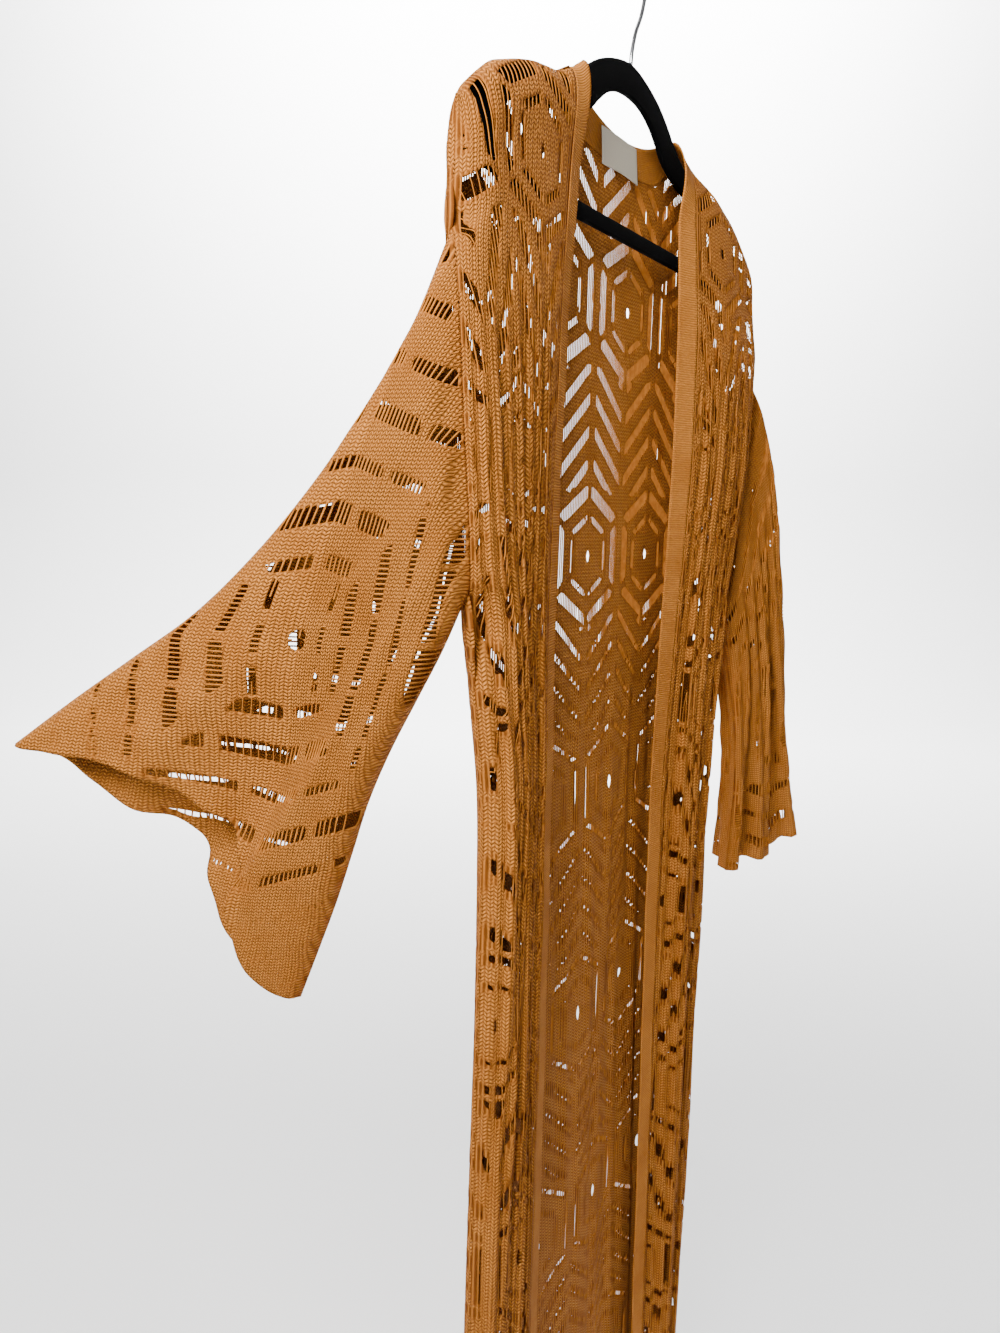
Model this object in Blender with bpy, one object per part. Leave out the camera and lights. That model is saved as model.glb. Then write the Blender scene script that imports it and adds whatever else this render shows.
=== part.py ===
"""Duster cardigan in open ladder lace, hung on a flat clothes hanger.

Places and sizes in the tables are millimetres, measured from the hanger's neck, where its hook
is screwed in. X runs to the wearer's left, the front faces -Y and +Z is up. The part's origin is
the inner top of the hook, HOOK_RISE above the neck.
"""

import math
from collections import defaultdict
from collections import namedtuple

import bpy
import numpy as np

MM = 0.001

# Hook and hanger
HOOK_RISE = 82.0
HOOK_WIRE_RADIUS = 1.6
HOOK_LOOP_RADIUS = 21.6
HOOK_SEAT_GAP = 0.3
HANGER_THICKNESS = 5.0
HANGER_EASED_EDGE = 1.2

# Cloth
WALL = 1.6
SEAM_TRIM = 0.2
CORNER_TRIM = 2.6
NEAR_CORNER_TRIM = 1.5
CREST_CLEAR = 3.9
CREST_ROUND = 28.0
SIDE_ROUND = 20.0
BACK_DEPTH = 13.0
ARMHOLE_HALF = 10.0
ARMHOLE_ROUND = 60.0
ARMHOLE_SWING = {-1: 8.0, 1: 2.0}
SHOULDER_DROP = 78.0
UNDERARM_Z = -404.0
HEM_Z = -1335.0
BAND_WIDTH = 20.0
NECK_DIP = 21.0
NECK_SEAM_DIP = 12.0
BODY_ROWS = 13
ARMHOLE_STEPS = 9
FRONT_STEPS = 7
NECK_SHARES = (0.0, 0.006, 0.03, 0.09, 0.2, 0.3, 0.4, 0.5, 0.6, 0.7, 0.8, 0.91, 0.97, 0.994, 1.0)
SLEEVE_STEPS = 8
CREST_NEAR = (0.0, 1.5, 7.0, 20.0)
EDGE_NEAR = (0.0, 3.0, 9.0, 18.0)
ROW_NEAR = (0.0, 5.0, 13.0, 26.0)

# Lace
REPEAT_WIDTH = 110.0
REPEAT_DROP = 204.0
MEDALLION_X = 37.0
MEDALLION_Z = -180.0
FRONT_GATHER = 2.0
SLEEVE_FLAT_WIDTH = 260.0
SLEEVE_FLAT_LENGTH = 480.0
GAP_FRAME = 0.08
WIDEST_GAP_SHARE = 0.4

HangerArm = namedtuple("HangerArm", "reach top inner_reach inner_top")
HANGER_ARM = (
    HangerArm(0, -2, 0, -26),
    HangerArm(25, -6, 20, -28),
    HangerArm(50, -15, 38, -35),
    HangerArm(70, -27, 52, -45),
    HangerArm(85, -38, 66, -56),
    HangerArm(110, -50, 96, -67),
    HangerArm(150, -57, 138, -74),
    HangerArm(190, -72, 172, -86),
    HangerArm(214, -91, 186, -98),
    HangerArm(223, -104, 190, -105),
    HangerArm(220, -121, 188, -112),
    HangerArm(205, -132, 178, -120),
    HangerArm(150, -134, 140, -122),
    HangerArm(75, -134, 75, -122),
    HangerArm(0, -134, 0, -122),
)

# The cloth's outer edge and front edge at each height, and how far the front stands forward.
BodyLevel = namedtuple("BodyLevel", "z right_side left_side right_edge left_edge right_depth left_depth")
BODY_LEVELS = (
    BodyLevel(-30, 226, 231, 74, 84, 13, 15),
    BodyLevel(-110, 228, 238, 86, 85, 15, 24),
    BodyLevel(-190, 230, 242, 97, 86, 20, 32),
    BodyLevel(-300, 219, 236, 103, 87, 22, 32),
    BodyLevel(-404, 206, 218, 104, 88, 21, 27),
    BodyLevel(-560, 182, 203, 101, 90, 21, 24),
    BodyLevel(-750, 183, 199, 99, 95, 21, 23),
    BodyLevel(-1000, 186, 198, 98, 103, 20, 23),
    BodyLevel(-1200, 185, 196, 98, 108, 20, 23),
    BodyLevel(-1340, 183, 194, 98, 112, 21, 23),
)

# Folds down each piece: where across it, from the outer edge at 0 to the band at 1.
Fold = namedtuple("Fold", "place width depth start")
FRONT_FOLDS = {
    -1: (Fold(0.30, 0.10, -5.0, -420), Fold(0.62, 0.12, -6.0, -250), Fold(0.45, 0.09, 4.0, -420)),
    1: (Fold(0.93, 0.13, -13.0, -300), Fold(0.62, 0.12, 4.0, -420), Fold(0.33, 0.12, -7.0, -420)),
}
BACK_FOLDS = (
    Fold(0.14, 0.05, -5.0, -420),
    Fold(0.33, 0.06, 5.0, -300),
    Fold(0.50, 0.06, -4.0, -500),
    Fold(0.68, 0.06, 5.0, -300),
    Fold(0.86, 0.05, -5.0, -420),
)

# The wearer's right sleeve, held out by its corner, and the left one, which hangs.
Point = namedtuple("Point", "x y z")
RIGHT_TOP_LINE = (
    Point(-244, 29, -251),
    Point(-267, 94, -346),
    Point(-293, 166, -422),
    Point(-320, 243, -477),
    Point(-345, 314, -530),
)
RIGHT_UNDERARM_LINE = (
    Point(-215, 15, -446),
    Point(-226, 62, -540),
    Point(-233, 92, -630),
    Point(-241, 124, -716),
)
RIGHT_FRONT_HEM = (
    Point(-324, 266, -531),
    Point(-302, 220, -537),
    Point(-282, 180, -566),
    Point(-268, 152, -592),
    Point(-268, 158, -640),
    Point(-258, 146, -696),
)
RIGHT_BACK_HEM = (
    Point(-324, 275, -552),
    Point(-309, 243, -573),
    Point(-289, 200, -594),
    Point(-282, 192, -622),
    Point(-277, 187, -651),
    Point(-266, 166, -680),
)
LEFT_TOP_LINE = (
    Point(258, -18, -224),
    Point(264, -29, -270),
    Point(265, -36, -330),
    Point(288, -43, -452),
    Point(318, -48, -587),
    Point(350, -54, -677),
)
LEFT_UNDERARM_LINE = (
    Point(226, -16, -470),
    Point(229, -31, -560),
    Point(227, -36, -640),
    Point(221, -35, -716),
)
LEFT_HEM = (
    Point(325, -50, -702),
    Point(290, -42, -712),
    Point(250, -32, -712),
)
RIGHT_SLEEVE_FOLDS = (
    Fold(0.28, 0.09, 10.0, 0.35),
    Fold(0.52, 0.10, -13.0, 0.30),
    Fold(0.76, 0.09, 9.0, 0.45),
)
LEFT_SLEEVE_FOLDS = (
    Fold(0.18, 0.08, 11.0, 0.05),
    Fold(0.38, 0.08, -13.0, 0.05),
    Fold(0.58, 0.08, 12.0, 0.10),
    Fold(0.80, 0.08, -11.0, 0.15),
)
RIGHT_SLEEVE_BULGE = 14.0
LEFT_SLEEVE_BULGE = 9.0
RIGHT_SLEEVE_OUTWARD = (-0.926, -0.369, -0.068)
LEFT_SLEEVE_OUTWARD = (-0.25, -0.96, 0.0)
SLEEVE_EDGE_SHARE = 2 / 15
SLEEVE_BULGE_FROM_TO = (-0.05, 0.2)

# Drape
HALF_SHOULDERS = 230.0
HANGER_TOP_ROWS = 10
NECK_LEVEL = -30
ARM_LEVEL = -110
UPPER_ROW_DROP = 49.0
SLOPE_STEP = 4.0
FOLD_OPENS_OVER = 350.0
EDGE_FLATTENING = 0.45
FLATTENED_FROM_TO = (0.55, 1.25)
NECK_CURVE = 0.8
NECK_BAND_RAMP = 3.2
NECK_BAND_SET_BACK = 0.92
LEAST_SPREAD = 0.62
SHARP_DEGREES = 50
HOOK_SIDES = 10

# Label
LABEL_WIDTH = 60.0
LABEL_HEIGHT = 28.0
LABEL_THICKNESS = 0.8
LABEL_CENTRE_X = 5.0
LABEL_TOP = -51.0
LABEL_GAP = 0.5
LABEL_BOW = 0.0006
LABEL_LEAN = 1.2
LABEL_COLUMNS = 5
LABEL_ROWS = 3

# Gaps cut through the lace: place in the repeat, half width and half height.
LaceGap = namedtuple("LaceGap", "across along half_width half_height")
LACE_GAPS = (
    LaceGap(0.0, 0.0, 2.8, 5.0),
    LaceGap(0.5, 0.27, 2.6, 6.0),
    LaceGap(0.24, 0.11, 2.5, 7.0),
    LaceGap(0.76, 0.11, 2.5, 7.0),
)

Finish = namedtuple("Finish", "colour roughness metallic")
OCHRE_LACE = Finish((0.46, 0.19, 0.035), 0.75, 0.0)
OCHRE_BAND = Finish((0.50, 0.22, 0.045), 0.75, 0.0)
LABEL_WOVEN = Finish((0.72, 0.68, 0.60), 0.7, 0.0)
BLACK_FLOCK = Finish((0.004, 0.004, 0.005), 0.95, 0.0)
CHROMED_WIRE = Finish((0.75, 0.75, 0.76), 0.2, 1.0)


def clear_scene():
    for obj in list(bpy.data.objects):
        bpy.data.objects.remove(obj, do_unlink=True)


def material_for(name, finish):
    material = bpy.data.materials.get(name) or bpy.data.materials.new(name)
    material.use_nodes = True
    shader = material.node_tree.nodes["Principled BSDF"]
    shader.inputs["Base Color"].default_value = (*finish.colour, 1.0)
    shader.inputs["Roughness"].default_value = finish.roughness
    shader.inputs["Metallic"].default_value = finish.metallic
    return material


def add_object(name, points, faces, material):
    """Adds a mesh whose points are millimetres from the hanger's neck."""
    placed = (np.asarray(points, float) - (0.0, 0.0, HOOK_RISE)) * MM
    mesh = bpy.data.meshes.new(name)
    mesh.from_pydata([tuple(p) for p in placed], [], faces)
    mesh.materials.append(material)
    mesh.shade_smooth()
    mesh.set_sharp_from_angle(angle=math.radians(SHARP_DEGREES))
    obj = bpy.data.objects.new(name, mesh)
    bpy.context.scene.collection.objects.link(obj)
    return obj


def column(rows, name):
    return np.array([getattr(row, name) for row in rows], float)


def smoothstep(low, high, x):
    t = np.clip((x - low) / (high - low), 0.0, 1.0)
    return t * t * (3 - 2 * t)


def rounding(distance, radius):
    """A quarter round: 0 at the edge, 1 once the distance passes the radius."""
    t = np.clip(distance / radius, 0.0, 1.0)
    return np.sqrt(1 - (1 - t) ** 2)


def smooth_path(points, fractions):
    """Points at the given fractions of the length of a smooth curve through the given points."""
    p = np.array(points, float)
    p = np.vstack([2 * p[0] - p[1], p, 2 * p[-1] - p[-2]])
    fine = []
    for a, b, c, d in zip(p, p[1:], p[2:], p[3:]):
        for t in np.linspace(0, 1, 12, endpoint=False):
            fine.append(
                0.5 * (2 * b + (c - a) * t + (2 * a - 5 * b + 4 * c - d) * t**2
                       + (3 * b - a - 3 * c + d) * t**3)
            )
    fine = np.array(fine + [p[-2]])
    length = np.concatenate([[0], np.cumsum(np.linalg.norm(np.diff(fine, axis=0), axis=1))])
    return np.stack([np.interp(np.array(fractions) * length[-1], length, fine[:, i]) for i in range(3)], -1)


def hanger_top(x):
    """Height of the hanger's upper edge, and of the cloth's drop past its ends."""
    arm = HANGER_ARM[:HANGER_TOP_ROWS]
    return np.interp(np.abs(x), column(arm, "reach"), column(arm, "top"))


def crest_height(x):
    """Height of the cloth's middle where it lies over the hanger, clear of it along the slope."""
    ahead, behind = hanger_top(abs(x) + SLOPE_STEP), hanger_top(max(abs(x) - SLOPE_STEP, 0.0))
    slope = (ahead - behind) / (2 * SLOPE_STEP)
    return float(hanger_top(x) + CREST_CLEAR * math.sqrt(1 + slope**2))


def level(z, name):
    rows = BODY_LEVELS[::-1]
    return np.interp(z, column(rows, "z"), column(rows, name))


def fold_sum(folds, place, grown):
    """Depth of the folds at a place across a piece; grown tells how far each has opened."""
    total = 0.0
    for fold in folds:
        total = total + fold.depth * grown(fold) * np.exp(-(((place - fold.place) / fold.width) ** 2))
    return total


def body_grown(z):
    return lambda fold: smoothstep(fold.start, fold.start - FOLD_OPENS_OVER, z)


def row_drops():
    """Distance below the shoulder of each row down to the underarm, fine where the cloth turns."""
    sleeve = -SHOULDER_DROP + (hanger_top(HALF_SHOULDERS) - UNDERARM_Z)
    top = list(CREST_NEAR) + [UPPER_ROW_DROP]
    near = [SHOULDER_DROP + d for d in ROW_NEAR]
    far = [SHOULDER_DROP + sleeve - d for d in ROW_NEAR[::-1]]
    middle = list(np.linspace(near[-1], far[0], ARMHOLE_STEPS + 1)[1:-1])
    return top + near + middle + far


DROPS = row_drops()
ARMHOLE_ROW = DROPS.index(SHOULDER_DROP)
UNDERARM_ROW = len(DROPS) - 1
ARMHOLE_LENGTH = DROPS[-1] - SHOULDER_DROP


def armhole_opening(drop):
    """Half the opening between front and back along the outer edge."""
    inside = rounding(drop - SHOULDER_DROP, ARMHOLE_ROUND) * rounding(DROPS[-1] - drop, ARMHOLE_ROUND)
    return np.where((drop > SHOULDER_DROP) & (drop < DROPS[-1]), ARMHOLE_HALF * inside, 0.0)


def front_columns(side):
    """(distance in from the outer edge at the shoulder) of each column of a front panel."""
    edge = level(NECK_LEVEL, "right_edge" if side < 0 else "left_edge") + BAND_WIDTH
    outer = level(ARM_LEVEL, "right_side" if side < 0 else "left_side")
    near = list(EDGE_NEAR)
    rest = list(np.linspace(near[-1], outer - edge, FRONT_STEPS + 1)[1:])
    return near + rest


def row_height(row, crest):
    """Height of a row on a column whose top is at the given crest."""
    if row <= UNDERARM_ROW:
        drop, start = DROPS[row], CREST_NEAR[-1]
        if drop <= start:
            return crest - drop
        return crest - start + (UNDERARM_Z - crest + start) * (drop - start) / (DROPS[-1] - start)
    step = (row - UNDERARM_ROW) / BODY_ROWS
    return UNDERARM_Z + (HEM_Z - UNDERARM_Z) * step


ROWS = UNDERARM_ROW + BODY_ROWS + 1


def body_point(side, inward, width, row, crest, place, front):
    """A point of the body: inward is its distance from the outer edge, as at the shoulder."""
    z = row_height(row, crest)
    names = ("right_side", "right_edge") if side < 0 else ("left_side", "left_edge")
    outer = level(z, names[0])
    inner = level(z, names[1]) + BAND_WIDTH
    near = EDGE_NEAR[-1]
    if inward <= near:
        x = outer - inward
    else:
        x = outer - near - (outer - near - inner) * (inward - near) / (width - near)
    edge_half = float(armhole_opening(DROPS[row])) if row <= UNDERARM_ROW else 0.0
    turn = float(rounding(inward, SIDE_ROUND))
    swing = ARMHOLE_SWING[side] * edge_half / ARMHOLE_HALF * max(0.0, 1 - inward / (4 * SIDE_ROUND)) ** 2
    x = x + swing if front else x - swing
    depth = level(z, "right_depth" if side < 0 else "left_depth") if front else BACK_DEPTH
    if front:
        depth = depth * (1 - EDGE_FLATTENING * smoothstep(*FLATTENED_FROM_TO, place))
        depth = depth + fold_sum(FRONT_FOLDS[side], place, body_grown(z))
    else:
        across = 0.5 + 0.5 * side * x / HALF_SHOULDERS
        depth = depth + fold_sum(BACK_FOLDS, across, body_grown(z))
    y = (edge_half + (depth - edge_half) * turn) * float(rounding(crest - z, CREST_ROUND))
    return np.array([side * x, -y if front else y, z])


def front_grid(side):
    """Middle surface of a front panel: rows down, columns from the outer edge to the band."""
    columns = front_columns(side)
    outer = level(ARM_LEVEL, "right_side" if side < 0 else "left_side")
    grid = np.zeros((ROWS, len(columns), 3))
    for c, inward in enumerate(columns):
        crest = crest_height(outer - inward)
        for r in range(ROWS):
            grid[r, c] = body_point(side, inward, columns[-1], r, crest, inward / columns[-1], True)
    return grid


def band_grid(side):
    """Middle surface of a front band, from its seam to the free edge."""
    grid = np.zeros((ROWS, 3, 3))
    seam = front_grid(side)[:, -1]
    name = "right_edge" if side < 0 else "left_edge"
    for c, share in enumerate((0.0, 0.5, 1.0)):
        for r in range(ROWS):
            z = seam[r, 2]
            edge = level(z, name)
            x = abs(seam[r, 0]) + (edge - abs(seam[r, 0])) * share
            crest = crest_height(x)
            if r < len(CREST_NEAR):
                z = crest - DROPS[r]
                y = seam[r, 1]
            else:
                y = seam[r, 1] * (1 - EDGE_FLATTENING * share)
            grid[r, c] = (side * x, y, z)
    grid[:, 0] = seam
    return grid


def neck_height(x, left, right, dip):
    """Height of the back neckline between two points on the shoulders."""
    share = (x - left) / (right - left)
    ends = crest_height(left) * (1 - share) + crest_height(right) * share
    return ends - dip * np.sin(math.pi * share) ** NECK_CURVE


def back_grid():
    """Middle surface of the back, columns from the wearer's right to the left."""
    right_columns = front_columns(-1)
    left_columns = front_columns(1)
    start = abs(front_grid(-1)[0, -1, 0])
    end = abs(front_grid(1)[0, -1, 0])
    count = len(right_columns) + len(NECK_SHARES) - 2 + len(left_columns)
    grid = np.zeros((ROWS, count, 3))
    for c, inward in enumerate(right_columns):
        outer = level(ARM_LEVEL, "right_side")
        crest = crest_height(outer - inward)
        for r in range(ROWS):
            grid[r, c] = body_point(-1, inward, right_columns[-1], r, crest, 0.0, False)
    for c, inward in enumerate(left_columns):
        outer = level(ARM_LEVEL, "left_side")
        crest = crest_height(outer - inward)
        for r in range(ROWS):
            grid[r, count - 1 - c] = body_point(1, inward, left_columns[-1], r, crest, 0.0, False)
    first = len(right_columns) - 1
    last = count - len(left_columns)
    for i, share in list(enumerate(NECK_SHARES))[1:-1]:
        c = first + i
        top_x = -start + (end + start) * share
        top_z = float(neck_height(top_x, -start, end, NECK_SEAM_DIP)) - neck_band_drop(share)
        for r in range(ROWS):
            a, b = grid[r, first], grid[r, last]
            x = a[0] + (b[0] - a[0]) * share
            if r <= UNDERARM_ROW:
                z = top_z + (UNDERARM_Z - top_z) * DROPS[r] / DROPS[-1]
            else:
                z = a[2]
            depth = BACK_DEPTH + fold_sum(BACK_FOLDS, 0.5 + 0.5 * x / HALF_SHOULDERS, body_grown(z))
            fall = crest_height(x) - z
            grid[r, c] = (x, depth * float(rounding(fall, CREST_ROUND)), z)
    return grid


def neck_band_drop(share):
    """Depth of the neck band below the neckline, the full width once clear of its ends."""
    return BAND_WIDTH * min(1.0, NECK_BAND_RAMP * math.sin(math.pi * share))


def neck_band_grid(back):
    """Middle surface of the band round the back neck: top row free, lower row on the back."""
    first = len(front_columns(-1)) - 1
    lower = back[0, first:first + len(NECK_SHARES)]
    right_end = band_grid(-1)[0, -1]
    left_end = band_grid(1)[0, -1]
    upper = np.zeros_like(lower)
    for i, share in enumerate(NECK_SHARES):
        x = right_end[0] + (left_end[0] - right_end[0]) * share
        z = float(neck_height(x, right_end[0], left_end[0], NECK_DIP))
        fall = crest_height(x) - z
        upper[i] = (x, BACK_DEPTH * float(rounding(fall, CREST_ROUND)) * NECK_BAND_SET_BACK, z)
    upper[0], upper[-1] = right_end, left_end
    middle = (upper + lower) / 2
    middle[0], middle[-1] = band_grid(-1)[0, 1], band_grid(1)[0, 1]
    return np.stack([upper, middle, lower])


def sleeve_grid(edge, rear_edge, top, underarm, hem, folds, bulge, outward, front):
    """Middle surface of one layer of a sleeve, blended between its four edges.

    Rows run from the top line to the underarm, columns from the armhole to the hem.
    """
    own = edge if front else rear_edge
    across = np.array([(DROPS[r] - SHOULDER_DROP) / ARMHOLE_LENGTH for r in range(ARMHOLE_ROW, UNDERARM_ROW + 1)])
    along = np.linspace(0.0, 1.0, SLEEVE_STEPS + 1)
    top_line = smooth_path([own[0]] + list(top), along)
    under_line = smooth_path([own[-1]] + list(underarm), along)
    hem_line = smooth_path([top_line[-1]] + list(hem) + [under_line[-1]], across)
    f, w = across[:, None, None], along[None, :, None]
    patch = (1 - f) * top_line[None] + f * under_line[None] + (1 - w) * own[:, None] + w * hem_line[:, None]
    corners = (1 - f) * ((1 - w) * own[0] + w * hem_line[0]) + f * ((1 - w) * own[-1] + w * hem_line[-1])
    patch = patch - corners
    turn = rounding(across, SLEEVE_EDGE_SHARE) * rounding(1 - across, SLEEVE_EDGE_SHARE)
    away = smoothstep(*SLEEVE_BULGE_FROM_TO, along) * (along > 0)
    side = 1.0 if front else -1.0
    lift = side * bulge * turn[:, None] * away[None, :]
    for fold in folds:
        open_to = smoothstep(fold.start, 1.0, along)[None, :]
        crease = np.exp(-(((across[:, None] - fold.place) / fold.width) ** 2))
        lift = lift + fold.depth * open_to * crease * np.sqrt(turn[:, None])
    return patch + lift[:, :, None] * np.array(outward)


def unit(v):
    v = np.array(v, float)
    return v / np.linalg.norm(v)


def all_grids():
    """Every cloth piece's middle surface, faces turned outwards, with the sides that are seams."""
    right, left, back = front_grid(-1), front_grid(1), back_grid()
    arm = slice(ARMHOLE_ROW, UNDERARM_ROW + 1)
    grids = {
        "front_right": (right[:, ::-1], "top first last"),
        "front_left": (left, "top first last"),
        "band_right": (band_grid(-1)[:, ::-1], "top last"),
        "band_left": (band_grid(1), "top first"),
        "back": (back, "top first last"),
        "band_neck": (neck_band_grid(back), "bottom first last"),
    }
    sleeves = (
        ("sleeve_right", -1, right[arm, 0], back[arm, 0], RIGHT_TOP_LINE, RIGHT_UNDERARM_LINE,
         (RIGHT_FRONT_HEM, RIGHT_BACK_HEM), RIGHT_SLEEVE_FOLDS, RIGHT_SLEEVE_BULGE, unit(RIGHT_SLEEVE_OUTWARD)),
        ("sleeve_left", 1, left[arm, 0], back[arm, -1], LEFT_TOP_LINE, LEFT_UNDERARM_LINE,
         (LEFT_HEM, LEFT_HEM), LEFT_SLEEVE_FOLDS, LEFT_SLEEVE_BULGE, unit(LEFT_SLEEVE_OUTWARD)),
    )
    for name, side, front_edge, back_edge, top, underarm, hems, folds, bulge, outward in sleeves:
        for layer, is_front, hem in (("front", True, hems[0]), ("back", False, hems[1])):
            grid = sleeve_grid(front_edge, back_edge, top, underarm, hem, folds, bulge, outward, is_front)
            turned = (side < 0) != is_front
            seams = "top bottom last" if turned else "top bottom first"
            grids[f"{name}_{layer}"] = (grid[:, ::-1] if turned else grid, seams)
    return grids


def face_normals(grid):
    """Unit normals of a grid's cells."""
    a, b, c, d = grid[:-1, :-1], grid[:-1, 1:], grid[1:, 1:], grid[1:, :-1]
    n = np.cross(c - a, d - b)
    return n / np.maximum(np.linalg.norm(n, axis=-1, keepdims=True), 1e-9)


def key_of(point):
    return tuple(np.round(point, 2))


def shared_offsets(grids):
    """Half the wall at every point, along a normal that pieces meeting there have in common."""
    near = defaultdict(list)
    for grid, _ in grids.values():
        normals = face_normals(grid)
        for r, c in np.ndindex(normals.shape[:2]):
            for dr, dc in ((0, 0), (0, 1), (1, 0), (1, 1)):
                near[key_of(grid[r + dr, c + dc])].append(normals[r, c])
    offsets = {}
    for key, normals in near.items():
        mean = np.mean(normals, axis=0)
        length = np.linalg.norm(mean)
        if length < 1e-6:
            mean, length = normals[0], 1.0
        mean = mean / length
        spread = max(LEAST_SPREAD, float(np.mean([n @ mean for n in normals])))
        offsets[key] = mean * (WALL / 2) / spread
    return offsets


def trimmed(grid, seams):
    """The grid with each seam edge drawn back, so that neighbours stay a sewing gap apart."""
    grid = grid.copy()

    def draw(edge, inner):
        back = np.full((len(edge), 1), SEAM_TRIM)
        corners = [0, len(edge) - 1]
        if len(edge) == ROWS:
            corners += [ARMHOLE_ROW, UNDERARM_ROW]
        for corner in corners:
            back[max(corner - 1, 0):corner + 2] = NEAR_CORNER_TRIM
        back[corners] = CORNER_TRIM
        run = np.gradient(edge, axis=0)
        run /= np.linalg.norm(run, axis=-1, keepdims=True)
        step = inner - edge
        step = step - run * np.sum(step * run, axis=-1, keepdims=True)
        return edge + back * step / np.linalg.norm(step, axis=-1, keepdims=True)

    if "top" in seams:
        grid[0] = draw(grid[0], grid[1])
    if "bottom" in seams:
        grid[-1] = draw(grid[-1], grid[-2])
    if "first" in seams:
        grid[:, 0] = draw(grid[:, 0], grid[:, 1])
    if "last" in seams:
        grid[:, -1] = draw(grid[:, -1], grid[:, -2])
    return grid


def gap_in_cell(low, high):
    """Where a lace gap lies in a cell, as shares of its sides, or None."""
    width, height = high[0] - low[0], high[1] - low[1]
    middle = (low + high) / 2
    for gap in LACE_GAPS:
        for shift in (0.0, 0.5):
            i = (middle[0] - MEDALLION_X) / REPEAT_WIDTH - shift - gap.across
            j = (middle[1] - MEDALLION_Z) / (2 * REPEAT_DROP) - shift - gap.along
            x = (round(i) - i) * REPEAT_WIDTH / width + 0.5
            z = (round(j) - j) * 2 * REPEAT_DROP / height + 0.5
            half_x, half_z = gap.half_width / width, gap.half_height / height
            if 0.0 <= x < 1.0 and 0.0 <= z < 1.0 and max(half_x, half_z) < WIDEST_GAP_SHARE:
                x = min(max(x, half_x + GAP_FRAME), 1 - GAP_FRAME - half_x)
                z = min(max(z, half_z + GAP_FRAME), 1 - GAP_FRAME - half_z)
                return x - half_x, x + half_x, z - half_z, z + half_z
    return None


def shell(grid, seams, offsets, flat=None):
    """A closed wall about a middle surface, with the lace gaps cut through it."""
    half = np.array([[offsets[key_of(p)] for p in row] for row in grid])
    middle = trimmed(grid, seams)
    rows, columns = middle.shape[:2]
    outer = (middle + half).reshape(-1, 3)
    inner = (middle - half).reshape(-1, 3)
    points = [*outer, *inner]
    below = rows * columns

    def at(r, c):
        return r * columns + c

    faces = []
    for r in range(rows - 1):
        for c in range(columns - 1):
            ring = (at(r, c), at(r, c + 1), at(r + 1, c + 1), at(r + 1, c))
            gap = None
            if flat is not None:
                low = np.minimum(flat[r, c], flat[r + 1, c + 1])
                high = np.maximum(flat[r, c], flat[r + 1, c + 1])
                gap = gap_in_cell(low, high)
            if gap is None:
                faces.append(ring)
                faces.append(tuple(below + i for i in ring[::-1]))
            else:
                cut_gap(points, faces, ring, below, gap)
    border = [at(0, c) for c in range(columns)]
    border += [at(r, columns - 1) for r in range(1, rows)]
    border += [at(rows - 1, c) for c in range(columns - 2, -1, -1)]
    border += [at(r, 0) for r in range(rows - 2, 0, -1)]
    for a, b in zip(border, border[1:] + border[:1]):
        faces.append((b, a, a + below, b + below))
    return points, faces


def cut_gap(points, faces, ring, below, gap):
    """Fills a cell with a frame round a four-sided gap, on both faces of the wall."""
    x0, x1, z0, z1 = gap
    corners = []
    for offset in (0, below):
        a, b, c, d = (np.array(points[i + offset]) for i in ring)
        start = len(points)
        for x, z in ((x0, z0), (x1, z0), (x1, z1), (x0, z1)):
            points.append((1 - z) * ((1 - x) * a + x * b) + z * ((1 - x) * d + x * c))
        corners.append([start + i for i in range(4)])
    upper, lower = corners
    for i in range(4):
        j = (i + 1) % 4
        faces.append((ring[i], ring[j], upper[j], upper[i]))
        faces.append((ring[j] + below, ring[i] + below, lower[i], lower[j]))
        faces.append((upper[i], upper[j], lower[j], lower[i]))


def flat_places(name, grid):
    """Where each point of a piece lies in the flat lace: across and up it."""
    flat = np.zeros(grid.shape[:2] + (2,))
    if name.startswith("sleeve"):
        across = np.linspace(0, 1, grid.shape[0])
        along = np.linspace(0, 1, grid.shape[1])
        if grid[0, 0] @ grid[0, 0] > grid[0, -1] @ grid[0, -1]:
            along = along[::-1]
        flat[..., 0] = (across[:, None] - 0.5) * SLEEVE_FLAT_WIDTH
        flat[..., 1] = -SLEEVE_FLAT_LENGTH * along[None, :]
        return flat
    flat[..., 0] = grid[..., 0] * (FRONT_GATHER if name.startswith("front") else 1.0)
    flat[..., 1] = grid[..., 2]
    return flat


def tube(points, radius, sides):
    """A round wire along a list of points in the XZ plane."""
    points = np.array(points, float)
    step = np.gradient(points, axis=0)
    step /= np.linalg.norm(step, axis=1, keepdims=True)
    across = np.cross(step, (0.0, 1.0, 0.0))
    verts, faces = [], []
    for p, n in zip(points, across):
        for k in range(sides):
            a = 2 * math.pi * k / sides
            verts.append(p + radius * (math.cos(a) * n + math.sin(a) * np.array((0.0, 1.0, 0.0))))
    for i in range(len(points) - 1):
        for k in range(sides):
            j = (k + 1) % sides
            faces.append((i * sides + j, i * sides + k, (i + 1) * sides + k, (i + 1) * sides + j))
    faces.append(tuple(range(sides)))
    faces.append(tuple((len(points) - 1) * sides + k for k in range(sides))[::-1])
    return verts, faces


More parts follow.
